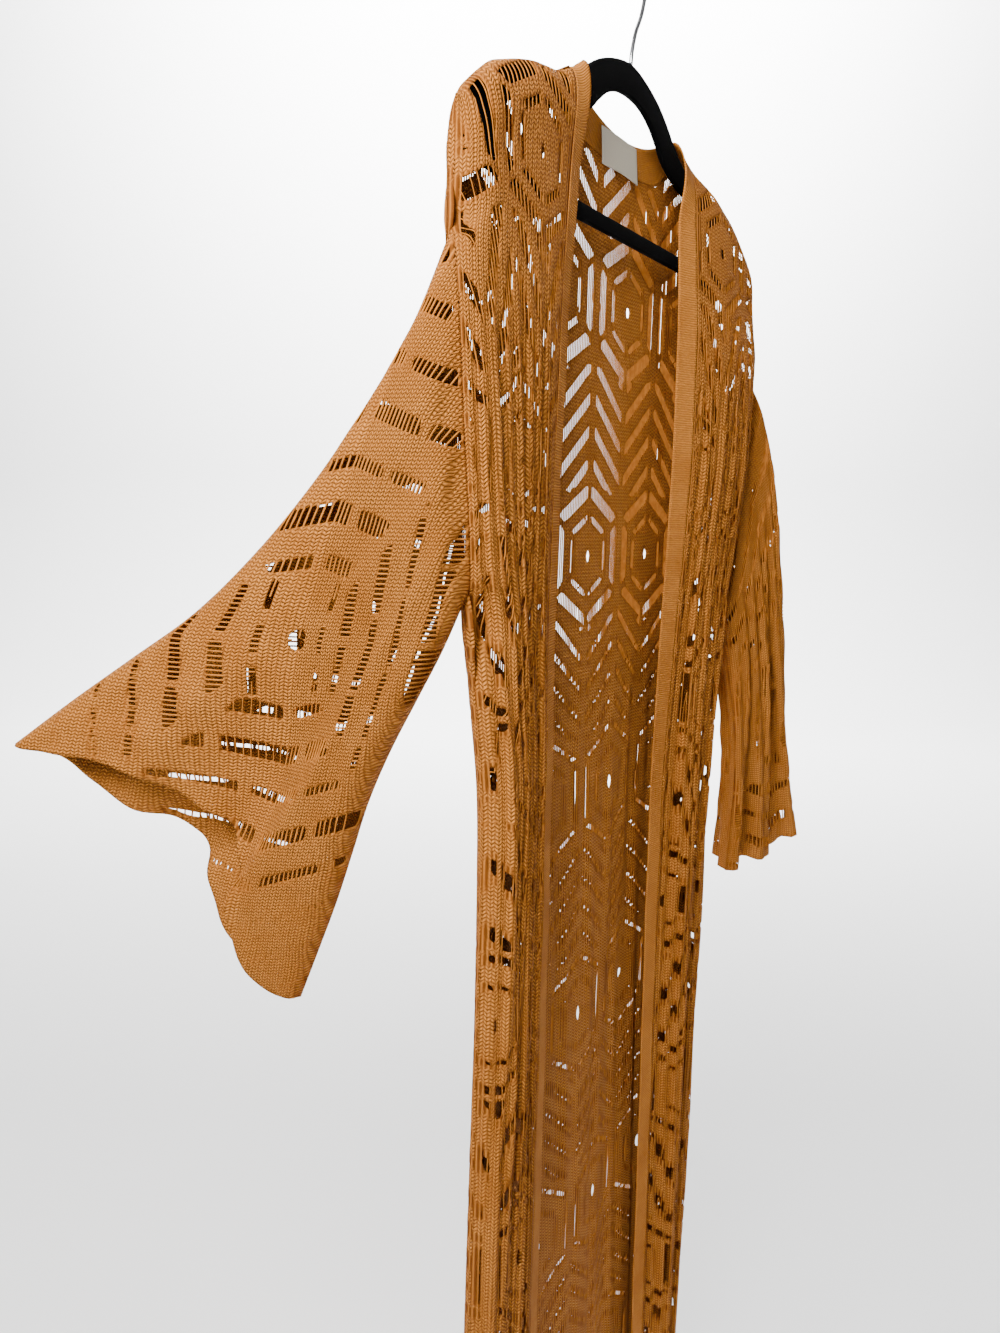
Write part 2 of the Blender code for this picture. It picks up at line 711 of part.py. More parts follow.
def hook_path():
    """The hook's wire: a stem that leans out into the loop, which runs over the top and down."""
    middle_z = HOOK_RISE + HOOK_WIRE_RADIUS - HOOK_LOOP_RADIUS
    seat = hanger_top(0.0) + HOOK_SEAT_GAP
    stem = smooth_path(
        ((0, 0, seat), (1, 0, 8), (6, 0, 24), (15, 0, 41), (HOOK_LOOP_RADIUS, 0, middle_z)),
        np.linspace(0, 1, 10),
    )
    loop = [
        (HOOK_LOOP_RADIUS * math.cos(a), 0.0, middle_z + HOOK_LOOP_RADIUS * math.sin(a))
        for a in np.radians(np.arange(15, 211, 15))
    ]
    return np.vstack([stem, loop])


def hanger_mesh():
    """The flat hanger as one ring with eased edges: its arms above, its trouser bar below."""
    half_outer = [(row.reach, row.top) for row in HANGER_ARM]
    half_inner = [(row.inner_reach, row.inner_top) for row in HANGER_ARM]
    outer = np.array(half_outer + [(-x, z) for x, z in half_outer[-2:0:-1]], float)
    inner = np.array(half_inner + [(-x, z) for x, z in half_inner[-2:0:-1]], float)
    across = inner - outer
    across /= np.linalg.norm(across, axis=1, keepdims=True)
    half, eased = HANGER_THICKNESS / 2, HANGER_EASED_EDGE
    section = (
        (outer, eased - half), (outer + across * eased, -half), (inner - across * eased, -half),
        (inner, eased - half), (inner, half - eased), (inner - across * eased, half),
        (outer + across * eased, half), (outer, half - eased),
    )
    count, sides = len(outer), len(section)
    points = [(x, y, z) for loop, y in section for x, z in loop]
    faces = []
    for k in range(sides):
        for i in range(count):
            a, b = k * count, (k + 1) % sides * count
            j = (i + 1) % count
            faces.append((a + j, a + i, b + i, b + j))
    return points, faces


def label_mesh():
    """A blank woven label on points taken from the back's flat middle and moved in, leaning to the front."""
    middle = np.zeros((LABEL_ROWS, LABEL_COLUMNS, 3))
    seam_y = BACK_DEPTH - WALL / 2 - LABEL_GAP - LABEL_THICKNESS / 2
    for c in range(LABEL_COLUMNS):
        across = LABEL_WIDTH * (c / (LABEL_COLUMNS - 1) - 0.5)
        top = LABEL_TOP - LABEL_BOW * across**2
        for r in range(LABEL_ROWS):
            drop = LABEL_HEIGHT * r / (LABEL_ROWS - 1)
            middle[r, c] = (LABEL_CENTRE_X + across, seam_y - LABEL_LEAN * (1 + r), top - drop)
    half = np.array((0.0, LABEL_THICKNESS / 2, 0.0))
    offsets = {key_of(p): half for row in middle for p in row}
    return shell(middle, "", offsets)


def main():
    clear_scene()
    lace = material_for("ochre_lace", OCHRE_LACE)
    band = material_for("ochre_band", OCHRE_BAND)
    grids = all_grids()
    offsets = shared_offsets(grids)
    for name, (grid, seams) in grids.items():
        plain = name.startswith("band")
        flat = None if plain else flat_places(name, grid)
        points, faces = shell(grid, seams, offsets, flat)
        add_object(name, points, faces, band if plain else lace)
    add_object("label", *label_mesh(), material_for("woven_label", LABEL_WOVEN))
    add_object("hanger", *hanger_mesh(), material_for("black_flock", BLACK_FLOCK))
    wire = tube(hook_path(), HOOK_WIRE_RADIUS, HOOK_SIDES)
    add_object("hook", *wire, material_for("chromed_wire", CHROMED_WIRE))


if __name__ == "__main__":
    main()
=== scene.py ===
"""Duster cardigan in ladder lace on a flat flocked hanger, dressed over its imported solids.

Places and sizes are millimetres from the hanger's neck, where the hook is screwed in. X runs to
the wearer's left, the front faces -Y and +Z is up. Points turn into the frame's metres in one
place, to_frame.
"""

import logging
import math
from dataclasses import dataclass, field
from enum import Enum

import bpy
import numpy as np
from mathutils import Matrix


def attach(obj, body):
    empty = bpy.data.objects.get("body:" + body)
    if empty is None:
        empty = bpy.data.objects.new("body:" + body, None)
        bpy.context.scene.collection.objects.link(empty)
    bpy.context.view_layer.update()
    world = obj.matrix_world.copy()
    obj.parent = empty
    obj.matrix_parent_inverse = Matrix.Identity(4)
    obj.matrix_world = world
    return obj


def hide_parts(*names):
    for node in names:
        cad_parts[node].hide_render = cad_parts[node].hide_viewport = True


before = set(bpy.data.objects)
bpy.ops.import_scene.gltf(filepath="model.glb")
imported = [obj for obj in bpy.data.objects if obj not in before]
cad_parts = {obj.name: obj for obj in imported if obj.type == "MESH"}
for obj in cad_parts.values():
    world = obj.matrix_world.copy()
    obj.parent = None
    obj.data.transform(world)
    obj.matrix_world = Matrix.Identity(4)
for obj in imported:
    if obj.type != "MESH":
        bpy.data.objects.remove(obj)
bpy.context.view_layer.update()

MM = 0.001
HOOK_RISE = 82.0

logging.basicConfig(level=logging.INFO, format="%(message)s")
log = logging.getLogger("cardigan")

Grid = np.ndarray


class Side(Enum):
    """A side of the garment, as its wearer names it, with its sign along X."""

    RIGHT = -1
    LEFT = 1


class Layer(Enum):
    """A layer of a sleeve."""

    FRONT = 1
    BACK = -1


# Small helpers


def to_frame(points: np.ndarray) -> np.ndarray:
    """Millimetres from the hanger's neck, as metres from the hook's inner top.

    Args:
        points: Rows of x, y and z.

    Returns:
        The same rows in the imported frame.
    """
    return (np.asarray(points, float) - (0.0, 0.0, HOOK_RISE)) * MM


def smoothstep(low: float, high: float, x: np.ndarray | float) -> np.ndarray:
    """An S curve from 0 at low to 1 at high."""
    t = np.clip((np.asarray(x, float) - low) / (high - low), 0.0, 1.0)
    return t * t * (3 - 2 * t)


def rounding(distance: np.ndarray | float, radius: float) -> np.ndarray:
    """A quarter round: 0 at the edge, 1 once the distance passes the radius."""
    t = np.clip(np.asarray(distance, float) / radius, 0.0, 1.0)
    return np.sqrt(1 - (1 - t) ** 2)


def wrap(value: np.ndarray, period: float) -> np.ndarray:
    """The value brought within half a period of 0."""
    return value - period * np.round(value / period)


def unit(v: tuple[float, float, float] | np.ndarray) -> np.ndarray:
    """The vector with length one."""
    v = np.asarray(v, float)
    return v / np.linalg.norm(v)


def smooth_path(points: list | np.ndarray, fractions: np.ndarray) -> np.ndarray:
    """Points on a smooth curve through the given points.

    Args:
        points: Rows of x, y and z that the curve passes.
        fractions: Shares of the curve's length, from 0 to 1.

    Returns:
        One row for each fraction.
    """
    p = np.array(points, float)
    p = np.vstack([2 * p[0] - p[1], p, 2 * p[-1] - p[-2]])
    fine = []
    for a, b, c, d in zip(p, p[1:], p[2:], p[3:]):
        for t in np.linspace(0, 1, 12, endpoint=False):
            fine.append(
                0.5 * (2 * b + (c - a) * t + (2 * a - 5 * b + 4 * c - d) * t**2
                       + (3 * b - a - 3 * c + d) * t**3)
            )
    fine = np.array(fine + [p[-2]])
    length = np.concatenate([[0], np.cumsum(np.linalg.norm(np.diff(fine, axis=0), axis=1))])
    return np.stack([np.interp(np.asarray(fractions) * length[-1], length, fine[:, i]) for i in range(3)], -1)


def refine(values: np.ndarray, knots: np.ndarray, places: np.ndarray) -> np.ndarray:
    """Cubic interpolation along the first axis.

    Args:
        values: What is known at the knots.
        knots: Rising places along the axis.
        places: Where the values are wanted.

    Returns:
        The values there.
    """
    slope = np.gradient(values, knots, axis=0)
    i = np.clip(np.searchsorted(knots, places, side="right") - 1, 0, len(knots) - 2)
    shape = (-1,) + (1,) * (values.ndim - 1)
    h = (knots[i + 1] - knots[i]).reshape(shape)
    u = ((places - knots[i]).reshape(shape)) / h
    a, b = values[i], values[i + 1]
    return ((1 + 2 * u) * (1 - u) ** 2 * a + u * (1 - u) ** 2 * h * slope[i]
            + u * u * (3 - 2 * u) * b + u * u * (u - 1) * h * slope[i + 1])


# The form of the hung cloth


@dataclass(frozen=True)
class BodyLevel:
    """The cloth's outer and front edges at a height, and how far the front stands forward."""

    z: float
    right_side: float
    left_side: float
    right_edge: float
    left_edge: float
    right_depth: float
    left_depth: float


@dataclass(frozen=True)
class Fold:
    """A soft fold: where across its piece, how wide, how deep, and where it starts."""

    place: float
    width: float
    depth: float
    start: float


BODY_LEVELS = (
    BodyLevel(-1340, 183, 194, 98, 112, 21, 23),
    BodyLevel(-1200, 185, 196, 98, 108, 20, 23),
    BodyLevel(-1000, 186, 198, 98, 103, 20, 23),
    BodyLevel(-750, 183, 199, 99, 95, 21, 23),
    BodyLevel(-560, 182, 203, 101, 90, 21, 24),
    BodyLevel(-404, 206, 218, 104, 88, 21, 27),
    BodyLevel(-300, 219, 236, 103, 87, 22, 32),
    BodyLevel(-190, 230, 242, 97, 86, 20, 32),
    BodyLevel(-110, 228, 238, 86, 85, 15, 24),
    BodyLevel(-30, 226, 231, 74, 84, 13, 15),
)
FRONT_FOLDS = {
    Side.RIGHT: (Fold(0.30, 0.10, -5.0, -420), Fold(0.62, 0.12, -6.0, -250), Fold(0.45, 0.09, 4.0, -420)),
    Side.LEFT: (Fold(0.93, 0.13, -13.0, -300), Fold(0.62, 0.12, 4.0, -420), Fold(0.33, 0.12, -7.0, -420)),
}
BACK_FOLDS = (
    Fold(0.14, 0.05, -5.0, -420),
    Fold(0.33, 0.06, 5.0, -300),
    Fold(0.50, 0.06, -4.0, -500),
    Fold(0.68, 0.06, 5.0, -300),
    Fold(0.86, 0.05, -5.0, -420),
)
HANGER_OUTER = (
    (0, -2), (25, -6), (50, -15), (70, -27), (85, -38), (110, -50), (150, -57), (190, -72),
    (214, -91), (223, -104), (220, -121), (205, -132), (150, -134), (75, -134), (0, -134),
)
HANGER_INNER = (
    (0, -26), (20, -28), (38, -35), (52, -45), (66, -56), (96, -67), (138, -74), (172, -86),
    (186, -98), (190, -105), (188, -112), (178, -120), (140, -122), (75, -122), (0, -122),
)
HANGER_TOP_POINTS = 10


@dataclass(frozen=True)
class SleeveShape:
    """Edges of a hung sleeve: its top line, underarm and the hem of each layer."""

    side: Side
    top: tuple
    underarm: tuple
    front_hem: tuple
    back_hem: tuple
    folds: tuple
    bulge: float
    outward: tuple[float, float, float]


RIGHT_SLEEVE = SleeveShape(
    side=Side.RIGHT,
    top=((-244, 29, -251), (-267, 94, -346), (-293, 166, -422), (-320, 243, -477), (-345, 314, -530)),
    underarm=((-215, 15, -446), (-226, 62, -540), (-233, 92, -630), (-241, 124, -716)),
    front_hem=((-324, 266, -531), (-302, 220, -537), (-282, 180, -566), (-268, 152, -592),
               (-268, 158, -640), (-258, 146, -696)),
    back_hem=((-324, 275, -552), (-309, 243, -573), (-289, 200, -594), (-282, 192, -622),
              (-277, 187, -651), (-266, 166, -680)),
    folds=(Fold(0.28, 0.09, 10.0, 0.35), Fold(0.52, 0.10, -13.0, 0.30), Fold(0.76, 0.09, 9.0, 0.45)),
    bulge=14.0,
    outward=(-0.926, -0.369, -0.068),
)
LEFT_SLEEVE = SleeveShape(
    side=Side.LEFT,
    top=((258, -18, -224), (264, -29, -270), (265, -36, -330), (288, -43, -452), (318, -48, -587),
         (350, -54, -677)),
    underarm=((226, -16, -470), (229, -31, -560), (227, -36, -640), (221, -35, -716)),
    front_hem=((325, -50, -702), (290, -42, -712), (250, -32, -712)),
    back_hem=((325, -50, -702), (290, -42, -712), (250, -32, -712)),
    folds=(Fold(0.18, 0.08, 11.0, 0.05), Fold(0.38, 0.08, -13.0, 0.05), Fold(0.58, 0.08, 12.0, 0.10),
           Fold(0.80, 0.08, -11.0, 0.15)),
    bulge=9.0,
    outward=(-0.25, -0.96, 0.0),
)


@dataclass(frozen=True)
class CardiganForm:
    """The true shape of the hung garment, worked out from its sizes."""

    crest_clear: float = 3.9
    crest_round: float = 28.0
    side_round: float = 20.0
    back_depth: float = 13.0
    armhole_half: float = 10.0
    armhole_round: float = 60.0
    right_swing: float = 8.0
    left_swing: float = 2.0
    shoulder_drop: float = 78.0
    underarm_z: float = -404.0
    hem_z: float = -1335.0
    band_width: float = 20.0
    neck_dip: float = 21.0
    neck_seam_dip: float = 12.0
    body_rows: int = 13
    armhole_steps: int = 9
    front_steps: int = 7
    sleeve_steps: int = 8
    crest_near: tuple = (0.0, 1.5, 7.0, 20.0)
    edge_near: tuple = (0.0, 3.0, 9.0, 18.0)
    row_near: tuple = (0.0, 5.0, 13.0, 26.0)
    neck_shares: tuple = (0.0, 0.006, 0.03, 0.09, 0.2, 0.3, 0.4, 0.5, 0.6, 0.7, 0.8, 0.91, 0.97, 0.994, 1.0)

    def hanger_top(self, x: float) -> float:
        """Height of the hanger's upper edge at a distance from its middle."""
        reach, top = np.array(HANGER_OUTER[:HANGER_TOP_POINTS], float).T
        return float(np.interp(abs(x), reach, top))

    def crest(self, x: float) -> float:
        """Height of the cloth's middle where it lies over the hanger."""
        slope = (self.hanger_top(abs(x) + 4.0) - self.hanger_top(max(abs(x) - 4.0, 0.0))) / 8.0
        return self.hanger_top(x) + self.crest_clear * math.sqrt(1 + slope**2)

    def level(self, z: float, side: Side, name: str) -> float:
        """A size of the body's outline at a height.

        Args:
            z: The height.
            side: The wearer's right or left.
            name: side, edge or depth.

        Returns:
            The size there.
        """
        key = f"{side.name.lower()}_{name}"
        rows = [(row.z, getattr(row, key)) for row in BODY_LEVELS]
        heights, values = np.array(rows, float).T
        return float(np.interp(z, heights, values))

    def fold_sum(self, folds: tuple, place: float, z: float) -> float:
        """Depth of the folds at a place across a piece and a height.

        Args:
            folds: The piece's folds.
            place: Share of the way across.
            z: Height.

        Returns:
            How far the cloth stands out there.
        """
        total = 0.0
        for fold in folds:
            grown = float(smoothstep(-fold.start, 350.0 - fold.start, -z))
            total += fold.depth * grown * math.exp(-(((place - fold.place) / fold.width) ** 2))
        return total

    def drops(self) -> list[float]:
        """Distance below the shoulder of each row down to the underarm.

        Returns:
            The distances, from the crest down.
        """
        sleeve = -self.shoulder_drop + (self.hanger_top(230) - self.underarm_z)
        near = [self.shoulder_drop + d for d in self.row_near]
        far = [self.shoulder_drop + sleeve - d for d in self.row_near[::-1]]
        middle = list(np.linspace(near[-1], far[0], self.armhole_steps + 1)[1:-1])
        return list(self.crest_near) + [49.0] + near + middle + far

    def armhole_opening(self, drop: float) -> float:
        """Half the opening between front and back along the outer edge.

        Args:
            drop: Distance below the shoulder.

        Returns:
            Half the opening, 0 above and below the armhole.
        """
        end = self.drops()[-1]
        if not self.shoulder_drop < drop < end:
            return 0.0
        above = rounding(drop - self.shoulder_drop, self.armhole_round)
        below = rounding(end - drop, self.armhole_round)
        return self.armhole_half * float(above * below)

    def columns(self, side: Side) -> list[float]:
        """Distance in from the outer edge of each column of a front.

        Args:
            side: The wearer's right or left.

        Returns:
            The distances, from the outer edge to the band's seam.
        """
        edge = self.level(-30, side, "edge") + self.band_width
        outer = self.level(-110, side, "side")
        near = list(self.edge_near)
        return near + list(np.linspace(near[-1], outer - edge, self.front_steps + 1)[1:])

    def row_height(self, row: int, crest: float) -> float:
        """Height of a row on a column whose top is at the given crest.

        Args:
            row: Row of the grid.
            crest: Height of the column's top.

        Returns:
            The row's height.
        """
        drops = self.drops()
        last = len(drops) - 1
        if row > last:
            return self.underarm_z + (self.hem_z - self.underarm_z) * (row - last) / self.body_rows
        start = self.crest_near[-1]
        if drops[row] <= start:
            return crest - drops[row]
        return crest - start + (self.underarm_z - crest + start) * (drops[row] - start) / (drops[-1] - start)

    def body_point(
        self, side: Side, inward: float, width: float, row: int, crest: float, front: bool
    ) -> list:
        """A point of the body.

        Args:
            side: The wearer's right or left.
            inward: Distance from the outer edge, as at the shoulder.
            width: The whole of that distance, to the band's seam.
            row: Row of the grid.
            crest: Height of the column's top.
            front: True on the front, False on the back.

        Returns:
            Its x, y and z.
        """
        drops = self.drops()
        z = self.row_height(row, crest)
        outer = self.level(z, side, "side")
        inner = self.level(z, side, "edge") + self.band_width
        near = self.edge_near[-1]
        x = outer - inward
        if inward > near:
            x = outer - near - (outer - near - inner) * (inward - near) / (width - near)
        half = self.armhole_opening(drops[row]) if row < len(drops) else 0.0
        swing = self.right_swing if side is Side.RIGHT else self.left_swing
        swing *= half / self.armhole_half * max(0.0, 1 - inward / (4 * self.side_round)) ** 2
        x += swing if front else -swing
        if front:
            depth = self.level(z, side, "depth") * (1 - 0.45 * float(smoothstep(0.55, 1.25, inward / width)))
            depth += self.fold_sum(FRONT_FOLDS[side], inward / width, z)
        else:
            across = 0.5 + 0.5 * side.value * x / 230.0
            depth = self.back_depth + self.fold_sum(BACK_FOLDS, across, z)
        turn = float(rounding(inward, self.side_round))
        y = (half + (depth - half) * turn) * float(rounding(crest - z, self.crest_round))
        return [side.value * x, -y if front else y, z]

    def rows(self) -> int:
        """Number of rows from the shoulder to the hem."""
        return len(self.drops()) + self.body_rows

    def front(self, side: Side) -> Grid:
        """Middle surface of a front: rows down, columns from the outer edge to the band.

        Args:
            side: The wearer's right or left.

        Returns:
            The front's grid.
        """
        columns = self.columns(side)
        outer = self.level(-110, side, "side")
        grid = np.zeros((self.rows(), len(columns), 3))
        for c, inward in enumerate(columns):
            crest = self.crest(outer - inward)
            for r in range(self.rows()):
                grid[r, c] = self.body_point(side, inward, columns[-1], r, crest, True)
        return grid

    def band(self, side: Side) -> Grid:
        """Middle surface of a front band, from its seam to the free edge.

        Args:
            side: The wearer's right or left.

        Returns:
            The band's grid, three columns wide.
        """
        seam = self.front(side)[:, -1]
        grid = np.zeros((self.rows(), 3, 3))
        for c, share in enumerate((0.0, 0.5, 1.0)):
            for r in range(self.rows()):
                z = seam[r, 2]
                x = abs(seam[r, 0]) + (self.level(z, side, "edge") - abs(seam[r, 0])) * share
                y = seam[r, 1] * (1 - 0.45 * share)
                if r < len(self.crest_near):
                    z = self.crest(x) - self.crest_near[r]
                    y = seam[r, 1]
                grid[r, c] = (side.value * x, y, z)
        grid[:, 0] = seam
        return grid

    def neckline(self, x: float, left: float, right: float, dip: float) -> float:
        """Height of the back neckline between two points on the shoulders.

        Args:
            x: Place across.
            left: Where the neckline starts.
            right: Where it ends.
            dip: How far it sags in the middle.

        Returns:
            The neckline's height at x.
        """
        share = (x - left) / (right - left)
        ends = self.crest(left) * (1 - share) + self.crest(right) * share
        return ends - dip * math.sin(math.pi * min(max(share, 0.0), 1.0)) ** 0.8

    def back(self) -> Grid:
        """Middle surface of the back, columns from the wearer's right to the left.

        Returns:
            The back's grid.
        """
        right, left = self.columns(Side.RIGHT), self.columns(Side.LEFT)
        start = abs(self.front(Side.RIGHT)[0, -1, 0])
        end = abs(self.front(Side.LEFT)[0, -1, 0])
        drops = self.drops()
        count = len(right) + len(self.neck_shares) - 2 + len(left)
        grid = np.zeros((self.rows(), count, 3))
        for side, columns in ((Side.RIGHT, right), (Side.LEFT, left)):
            outer = self.level(-110, side, "side")
            for c, inward in enumerate(columns):
                crest = self.crest(outer - inward)
                at = c if side is Side.RIGHT else count - 1 - c
                for r in range(self.rows()):
                    grid[r, at] = self.body_point(side, inward, columns[-1], r, crest, False)
        first, last = len(right) - 1, count - len(left)
        for i, share in list(enumerate(self.neck_shares))[1:-1]:
            band_drop = self.band_width * min(1.0, 3.2 * math.sin(math.pi * share))
            top = self.neckline(-start + (end + start) * share, -start, end, self.neck_seam_dip) - band_drop
            for r in range(self.rows()):
                a, b = grid[r, first], grid[r, last]
                x = a[0] + (b[0] - a[0]) * share
                z = a[2]
                if r < len(drops):
                    z = top + (self.underarm_z - top) * drops[r] / drops[-1]
                depth = self.back_depth + self.fold_sum(BACK_FOLDS, 0.5 + 0.5 * x / 230.0, z)
                grid[r, first + i] = (x, depth * float(rounding(self.crest(x) - z, self.crest_round)), z)
        return grid

    def neck_band(self) -> Grid:
        """Middle surface of the band round the back neck: top row free, lower row on the back.

        Returns:
            The band's grid, three rows deep.
        """
        first = len(self.columns(Side.RIGHT)) - 1
        lower = self.back()[0, first:first + len(self.neck_shares)]
        right, left = self.band(Side.RIGHT)[0], self.band(Side.LEFT)[0]
        upper = np.zeros_like(lower)
        for i, share in enumerate(self.neck_shares):
            x = right[-1, 0] + (left[-1, 0] - right[-1, 0]) * share
            z = self.neckline(x, right[-1, 0], left[-1, 0], self.neck_dip)
            upper[i] = (x, self.back_depth * float(rounding(self.crest(x) - z, self.crest_round)) * 0.92, z)
        upper[0], upper[-1] = right[-1], left[-1]
        middle = (upper + lower) / 2
        middle[0], middle[-1] = right[1], left[1]
        return np.stack([upper, middle, lower])

    def sleeve(self, shape: SleeveShape, layer: Layer) -> Grid:
        """Middle surface of one layer of a sleeve.

        Args:
            shape: The sleeve's edges and folds.
            layer: Its front or back layer.

        Returns:
            A grid with rows from the top line to the underarm and columns from armhole to hem.
        """
        drops = self.drops()
        arm = slice(drops.index(self.shoulder_drop), len(drops))
        front = layer is Layer.FRONT
        edge = self.front(shape.side)[arm, 0]
        if not front:
            edge = self.back()[arm, 0 if shape.side is Side.RIGHT else -1]
        across = (np.array(drops[arm]) - self.shoulder_drop) / (drops[-1] - self.shoulder_drop)
        along = np.linspace(0.0, 1.0, self.sleeve_steps + 1)
        top = smooth_path([edge[0], *shape.top], along)
        under = smooth_path([edge[-1], *shape.underarm], along)
        hem = smooth_path([top[-1], *(shape.front_hem if front else shape.back_hem), under[-1]], across)
        f, w = across[:, None, None], along[None, :, None]
        patch = (1 - f) * top[None] + f * under[None] + (1 - w) * edge[:, None] + w * hem[:, None]
        patch = patch - ((1 - f) * ((1 - w) * edge[0] + w * hem[0]) + f * ((1 - w) * edge[-1] + w * hem[-1]))
        turn = rounding(across * 300.0, 40.0) * rounding((1 - across) * 300.0, 40.0)
        away = smoothstep(-0.05, 0.2, along) * (along > 0)
        lift = layer.value * shape.bulge * turn[:, None] * away[None, :]
        for fold in shape.folds:
            open_to = smoothstep(fold.start, 1.0, along)[None, :]
            crease = np.exp(-(((across[:, None] - fold.place) / fold.width) ** 2))
            lift = lift + fold.depth * open_to * crease * turn[:, None] ** 0.5
        return patch + lift[:, :, None] * unit(shape.outward)


# Lace


@dataclass
class LaceReading:
    """What a lace says at each place: cloth or gap, how much ladder, and where threads run."""

    cloth: np.ndarray
    ladder: np.ndarray
    lengthwise: np.ndarray
    crosswise: np.ndarray


@dataclass(frozen=True)
class ChevronLace:
    """Medallions in half-drop rows, with nested chevrons of knit and ladder between them."""

    repeat_width: float = 110.0
    row_drop: float = 204.0
    chevron_pitch: float = 26.0
    chevron_slope: float = 0.8
    ladder_share: float = 0.20
    drawn_share: float = 0.25
    medallion_half: float = 60.0
    eyelet_half: tuple[float, float] = (3.0, 5.5)
    spine_half: float = 3.6
    thread_pitch: float = 2.6
    plain_width: float = 110.0
    inner_ring: tuple[float, float] = (28.0, 2.6)
    outer_ring: tuple[float, float] = (46.0, 5.0)
    corner_half: float = 3.0
    corner_slope: float = 0.62
    bridge_half: float = 2.6
    square_to_chevron: float = 0.78

    def read(self, s: np.ndarray, t: np.ndarray, ease: np.ndarray) -> LaceReading:
        """The lace at flat places.

        Args:
            s: Millimetres across, from a medallion's middle.
            t: Millimetres down, from the same.
            ease: 1 where the lace is spread, towards 0 where it is drawn in and shut.

        Returns:
            The reading there.
        """
        w, drop = self.repeat_width, self.row_drop
        scale = self.plain_width / w
        nearest = np.round(t / drop)
        ds = wrap(s - (nearest % 2) * w / 2, w)
        dt = t - nearest * drop
        ring = np.maximum(np.abs(ds) * scale * 1.04, np.abs(dt) * 0.84 + np.abs(ds) * scale * 0.46)
        inner, outer = (
            (np.abs(ring - middle) - half * ease) / scale
            for middle, half in (self.inner_ring, self.outer_ring)
        )
        corner = self.corner_half - np.abs(np.abs(dt) - self.corner_slope * np.abs(ds) * scale)
        rings = np.maximum(np.minimum(inner, outer), np.maximum(corner, self.bridge_half - np.abs(ds)))
        row = np.floor(t / drop)
        local = t - row * drop
        dc = wrap(s - (row % 2) * w / 2, w)
        phase = (local + self.chevron_slope * scale * np.abs(dc)) / self.chevron_pitch
        part = phase - np.floor(phase)
        spine = np.maximum(self.spine_half - np.abs(dc), self.spine_half - (w / 2 - np.abs(dc)))
        in_medallion = np.abs(dt) + 0.25 * np.abs(ds) * scale < self.medallion_half
        away = np.abs(part - 0.5)
        chevron = (away - self.ladder_share * ease) * self.chevron_pitch * self.square_to_chevron
        pattern = np.where(in_medallion, rings, np.maximum(chevron, spine))
        whole_ladder = (away - self.drawn_share) * self.chevron_pitch * self.square_to_chevron
        drawn = np.where(in_medallion, rings - 1.5, np.maximum(whole_ladder, spine))
        a, b = self.eyelet_half
        eyelet = (np.sqrt((ds / a) ** 2 + (dt / (b * (1 + 0.6 * (1 - ease)))) ** 2) - 1) * a
        ladder = np.clip(0.5 - drawn / 2.0, 0.0, 1.0)
        threads = s / self.thread_pitch
        lengthwise = np.where(eyelet < pattern, np.nan, threads)
        return LaceReading(np.minimum(pattern, eyelet), ladder, lengthwise, np.full_like(threads, np.nan))


@dataclass(frozen=True)
class RingLace:
    """Knit and ladder in rings round one medallion, as on the wide sleeves."""

    ring_pitch: float = 16.5
    first_ring: float = 28.0
    ladder_half: float = 3.1
    eyelet_half: tuple[float, float] = (3.6, 7.5)
    thread_pitch: float = 2.6
    rung_pitch: float = 3.3
    bridge_half: float = 2.6
    block_height: float = 52.0
    block_width: float = 36.0
    corner_half: float = 4.0
    slit_place: float = 13.0
    slit_half: tuple[float, float] = (1.5, 11.0)
    slit_pitch: float = 30.0
    slit_reach: float = 40.0
    slit_shutting: float = 4.0
    far_from_gap: float = 9.0

    def read(self, s: np.ndarray, t: np.ndarray, ease: np.ndarray) -> LaceReading:
        """The lace at flat places.

        Args:
            s: Millimetres across, from the medallion's middle.
            t: Millimetres down, from the same.
            ease: 1 where the lace is open, 0 where it is plain.

        Returns:
            The reading there.
        """
        sides = np.abs(s) + 0.12 * np.abs(t)
        ends = 0.52 * np.abs(t) + 0.2 * np.abs(s)
        ring = np.maximum(sides, ends)
        part = wrap(ring - self.first_ring, self.ring_pitch)
        number = np.round((ring - self.first_ring) / self.ring_pitch)
        uneven = 0.8 + 0.32 * np.sin(2.3 * number + 0.9 * np.sin(np.arctan2(t, s) * 2 + number))
        half = self.ladder_half * uneven * ease
        in_rings = ring > self.first_ring - self.ring_pitch / 2
        ladders = np.where(in_rings, np.abs(part) - half, self.far_from_gap)
        corner = self.corner_half - np.abs(sides - ends)
        bridge = np.where(
            sides > ends,
            self.bridge_half - np.abs(wrap(t + 17.0 * number, self.block_height)),
            self.bridge_half - np.abs(wrap(s + 11.0 * number, self.block_width)),
        )
        ladders = np.maximum.reduce([ladders, corner, bridge])
        wide, long = self.slit_half
        slits = np.maximum(
            np.abs(np.abs(s) - self.slit_place) - wide, np.abs(wrap(t, self.slit_pitch)) - long
        )
        shut = slits + self.slit_shutting * (1 - ease)
        slits = np.where(np.abs(t) < self.slit_reach, shut, self.far_from_gap)
        a, b = self.eyelet_half
        eyelet = (np.sqrt((s / a) ** 2 + (t / b) ** 2) - 1) * a
        pattern = np.minimum(ladders, slits)
        ladder = np.clip(0.5 - ladders / 2.5, 0.0, 1.0)
        on_side = sides > ends
        lengthwise = np.where(on_side, np.nan, s / self.thread_pitch)
        crosswise = np.where(on_side, t / self.rung_pitch, np.nan)
        return LaceReading(np.minimum(pattern, eyelet), ladder, lengthwise, crosswise)


# Finishes


